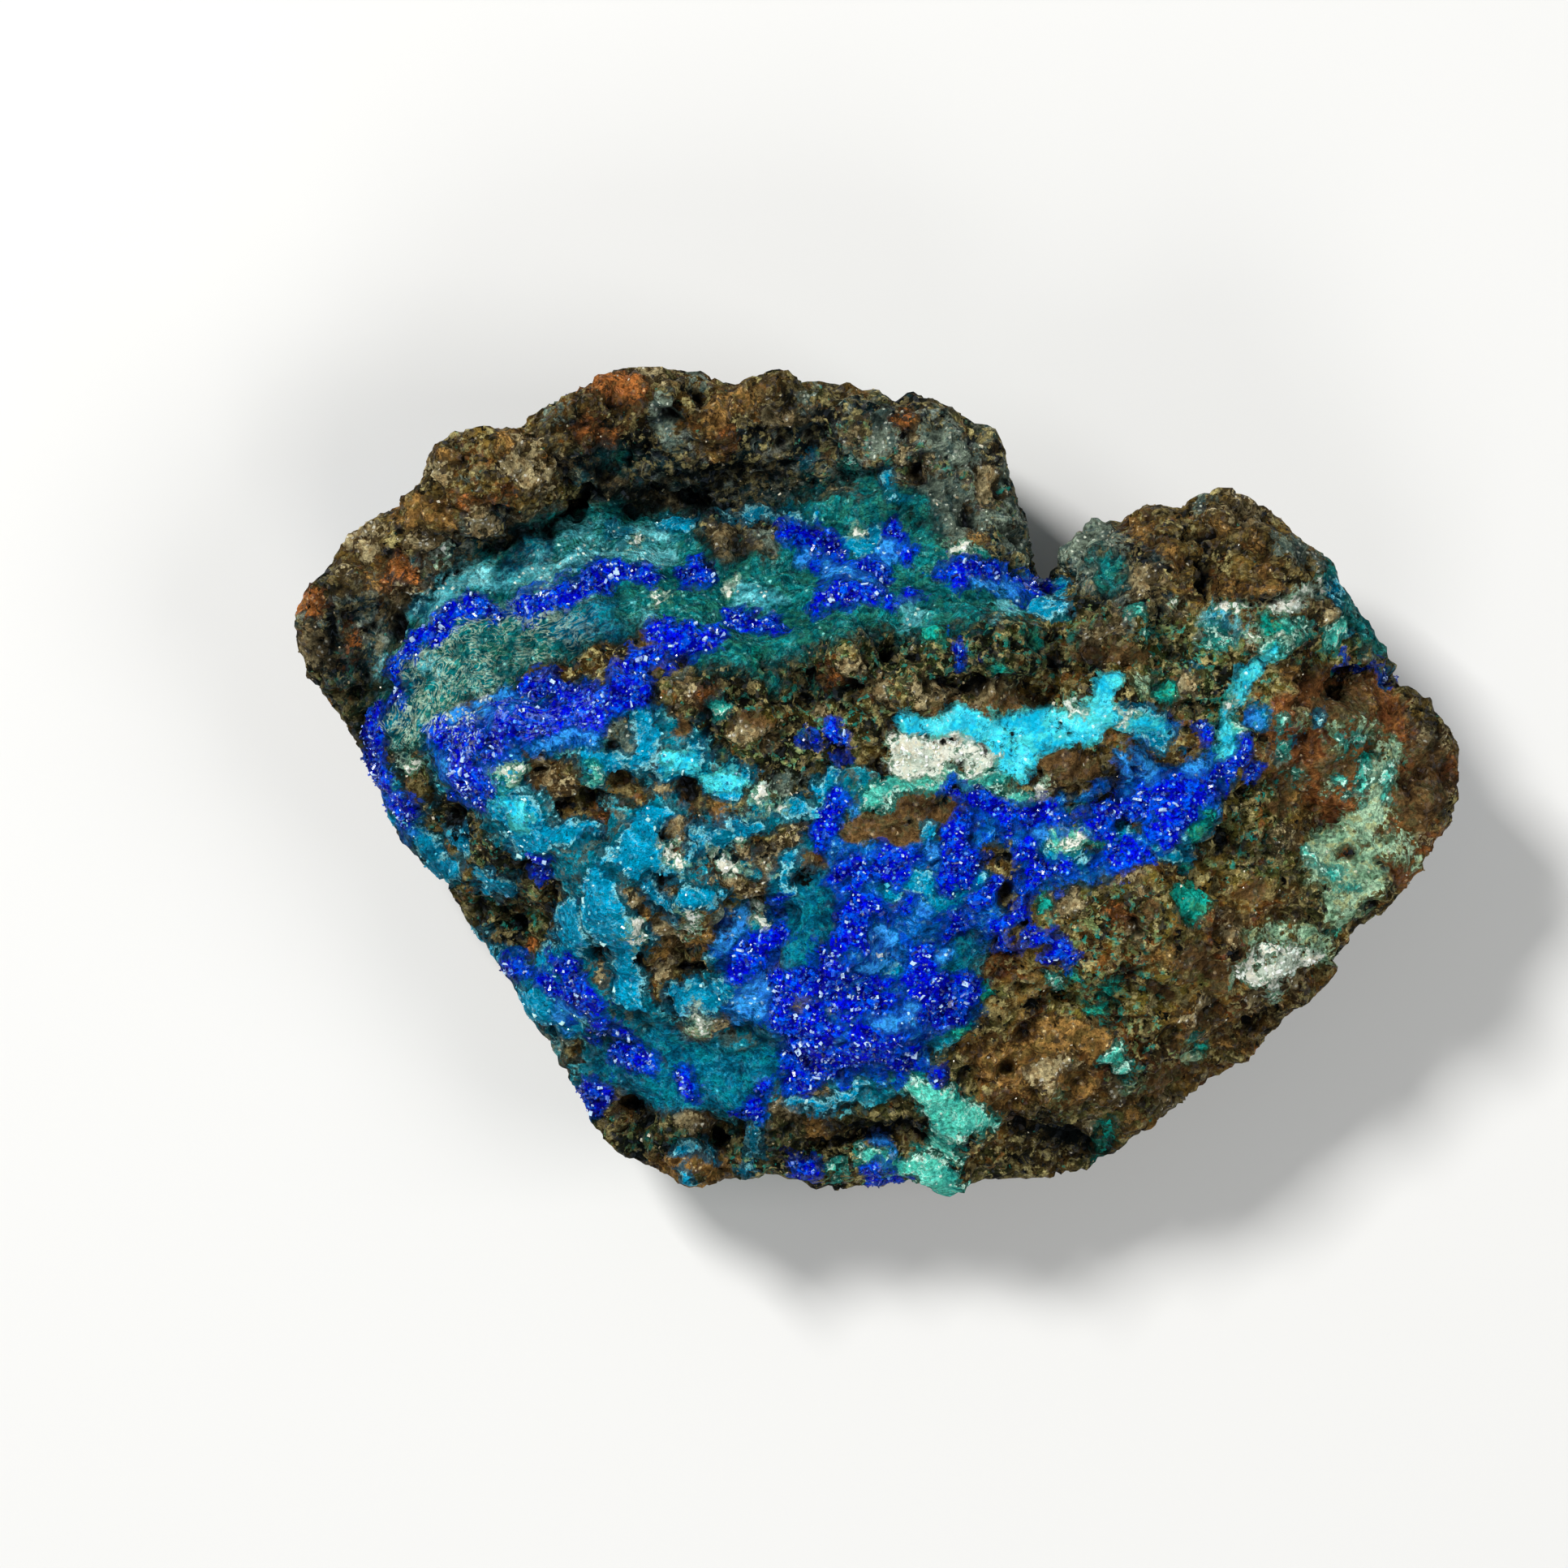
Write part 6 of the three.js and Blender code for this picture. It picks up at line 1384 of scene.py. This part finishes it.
# A crystal's corners, as parts of its width, depth and height
CRYSTAL_CORNERS = np.array([
    (-0.5, -0.5, -0.5), (0.5, -0.5, -0.5), (0.5, 0.5, -0.5), (-0.5, 0.5, -0.5),
    (-0.4, -0.42, 0.42), (0.4, -0.42, 0.5), (0.36, 0.42, 0.36), (-0.36, 0.4, 0.3),
])
CRYSTAL_FACES = np.array([(0, 3, 2, 1), (4, 5, 6, 7), (0, 1, 5, 4), (1, 2, 6, 5), (2, 3, 7, 6),
                          (3, 0, 4, 7)])
# Lowest place of a crystal above the floor, how deep it needs its mineral to be, how far it
# keeps from minerals that it isn't on, and how much it leans
CRYSTAL_FLOOR = 0.6
ROOT_DEPTH = 0.02
KEEP_OFF = 0.1
CRYSTAL_LEAN = 0.45
# Tone above which a crystal's faces take the glint colour, a painted glint, and how much wider it
# then is
GLINT_FROM = 0.91
GLINT_STRETCH = 1.6


def crystal_material(name, kind):
    g = Graph(name)
    mottle = g.step(g.noise(0.15, 3.0), 0.35, 0.65, -0.2, 0.2)
    tone = g.plus(g.field("tone"), mottle)
    colour = g.mix(tone, kind.dark, kind.light)
    # painted glint: the crystals of highest tone take the pale glint colour
    pale = g.step(g.field("tone"), GLINT_FROM - 0.1, GLINT_FROM + 0.01)
    bump = g.node("ShaderNodeBump", {"Height": g.noise(0.12, 2.0), "Strength": 0.25,
                                     "Distance": 0.1 * MM}).outputs[0]
    return g.finish({
        "Base Color": g.mix(pale, colour, kind.glint), "Normal": bump, "IOR": 1.7,
        "Roughness": g.step(tone, 0.0, 1.0, 0.3, 0.12), "Specular IOR Level": 0.5,
    })


def crystal_roots(rock, points, mineral):
    """Which of the rock's points a kind of crystal may grow from."""
    def depth_of(field):
        depth = np.empty(len(points), np.float32)
        rock.data.attributes[field].data.foreach_get("value", depth)
        return depth

    rooted = points[:, 2] > CRYSTAL_FLOOR
    if mineral:
        return rooted & (depth_of(mineral) > ROOT_DEPTH)
    for crust in CRUSTS + ("azurite", "band"):
        rooted &= depth_of(crust) < -KEEP_OFF
    return rooted


def make_crystals(rock, name, seed):
    """Flat-faced crystals set into the rock where their mineral is, leaning at random."""
    kind = CRYSTALS[name]
    count = kind.count
    points, normals = read_mesh(rock)
    chance = np.random.default_rng(seed)
    chosen = chance.choice(np.flatnonzero(crystal_roots(rock, points, kind.mineral)), count)
    axis = normals[chosen] + chance.normal(0, CRYSTAL_LEAN, (count, 3))
    axis /= np.linalg.norm(axis, axis=1)[:, None]
    side = np.cross(axis, chance.normal(0, 1, (count, 3)))
    side /= np.linalg.norm(side, axis=1)[:, None]
    other = np.cross(axis, side)

    shortest, longest = kind.lengths
    length = shortest + (longest - shortest) * chance.random(count) ** 2
    length *= 0.6 + 0.4 * smoothstep(0.0, 0.5, normals[chosen, 2])
    width = length * kind.slenderness * (0.6 + 0.8 * chance.random(count))
    depth = width * (0.4 + 0.6 * chance.random(count))
    tone = chance.random(count)
    width = np.where(tone > GLINT_FROM, width * GLINT_STRETCH, width)

    corners = points[chosen][:, None, :]
    for part, (way, reach) in enumerate(((side, width), (other, depth), (axis, length))):
        corners = corners + CRYSTAL_CORNERS[None, :, part:part + 1] * (way * reach[:, None])[:, None]
    faces = CRYSTAL_FACES[None] + len(CRYSTAL_CORNERS) * np.arange(count)[:, None, None]
    obj = add_mesh(name, inside_cad_box(corners.reshape(-1, 3)), faces.reshape(-1, 4))
    add_field(obj, "tone", np.repeat(tone, len(CRYSTAL_CORNERS)))
    obj.data.materials.append(crystal_material(name, kind))
    return obj


# The studio: half the floor's side, its colour, and the sky's colour and strength
FLOOR_HALF = 1000
FLOOR_COLOUR = rgb(226, 225, 222)
SKY_LIGHT = (0.9, 0.95, 1.0, 1)
SKY_STRENGTH = 0.2
# Place, size and power of each light, in millimetres and watts
LIGHTS = {
    "key": ((-230, 230, 430), 110, 2.7),
    "fill": ((320, -60, 360), 220, 0.7),
    "front": ((20, -330, 300), 200, 0.45),
}


def make_floor():
    half = FLOOR_HALF
    corners = np.array([[-half, -half, 0], [half, -half, 0], [half, half, 0], [-half, half, 0]])
    floor = add_mesh("floor", corners, np.array([[0, 1, 2, 3]]))
    floor.data.materials.append(Graph("floor").finish({"Base Color": FLOOR_COLOUR,
                                                       "Roughness": 0.9}))


def make_lights():
    world = bpy.data.worlds.new("studio")
    world.use_nodes = True
    background = world.node_tree.nodes["Background"]
    background.inputs["Color"].default_value = SKY_LIGHT
    background.inputs["Strength"].default_value = SKY_STRENGTH
    bpy.context.scene.world = world
    for name, (place, size, power) in LIGHTS.items():
        light = bpy.data.lights.new(name, "AREA")
        light.shape = "SQUARE"
        light.size = size * MM
        light.energy = power
        lamp = bpy.data.objects.new(name, light)
        lamp.location = Vector(place) * MM
        lamp.rotation_euler = (-lamp.location).to_track_quat("-Z", "Y").to_euler()
        bpy.context.scene.collection.objects.link(lamp)


def make_camera():
    """The camera stands straight above the rock, as in the photo."""
    camera = bpy.data.cameras.new("camera")
    camera.sensor_width = SENSOR_WIDTH
    camera.lens = SENSOR_WIDTH * CAMERA_RISE / VIEW_WIDTH
    camera.clip_start = 0.01
    camera.clip_end = 5.0
    eye = bpy.data.objects.new("camera", camera)
    eye.location = Vector((*VIEW_CENTRE, OUTLINE_LEVEL + CAMERA_RISE)) * MM
    bpy.context.scene.collection.objects.link(eye)
    bpy.context.scene.camera = eye
    bpy.context.scene.view_settings.view_transform = "Standard"


make_floor()
make_lights()
make_camera()
rock = make_rock()
rock.data.materials.append(rock_material())
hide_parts("specimen")
pieces = [rock] + [make_crystals(rock, name, seed) for seed, name in enumerate(CRYSTALS)]
for piece in pieces:
    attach(piece, "root")
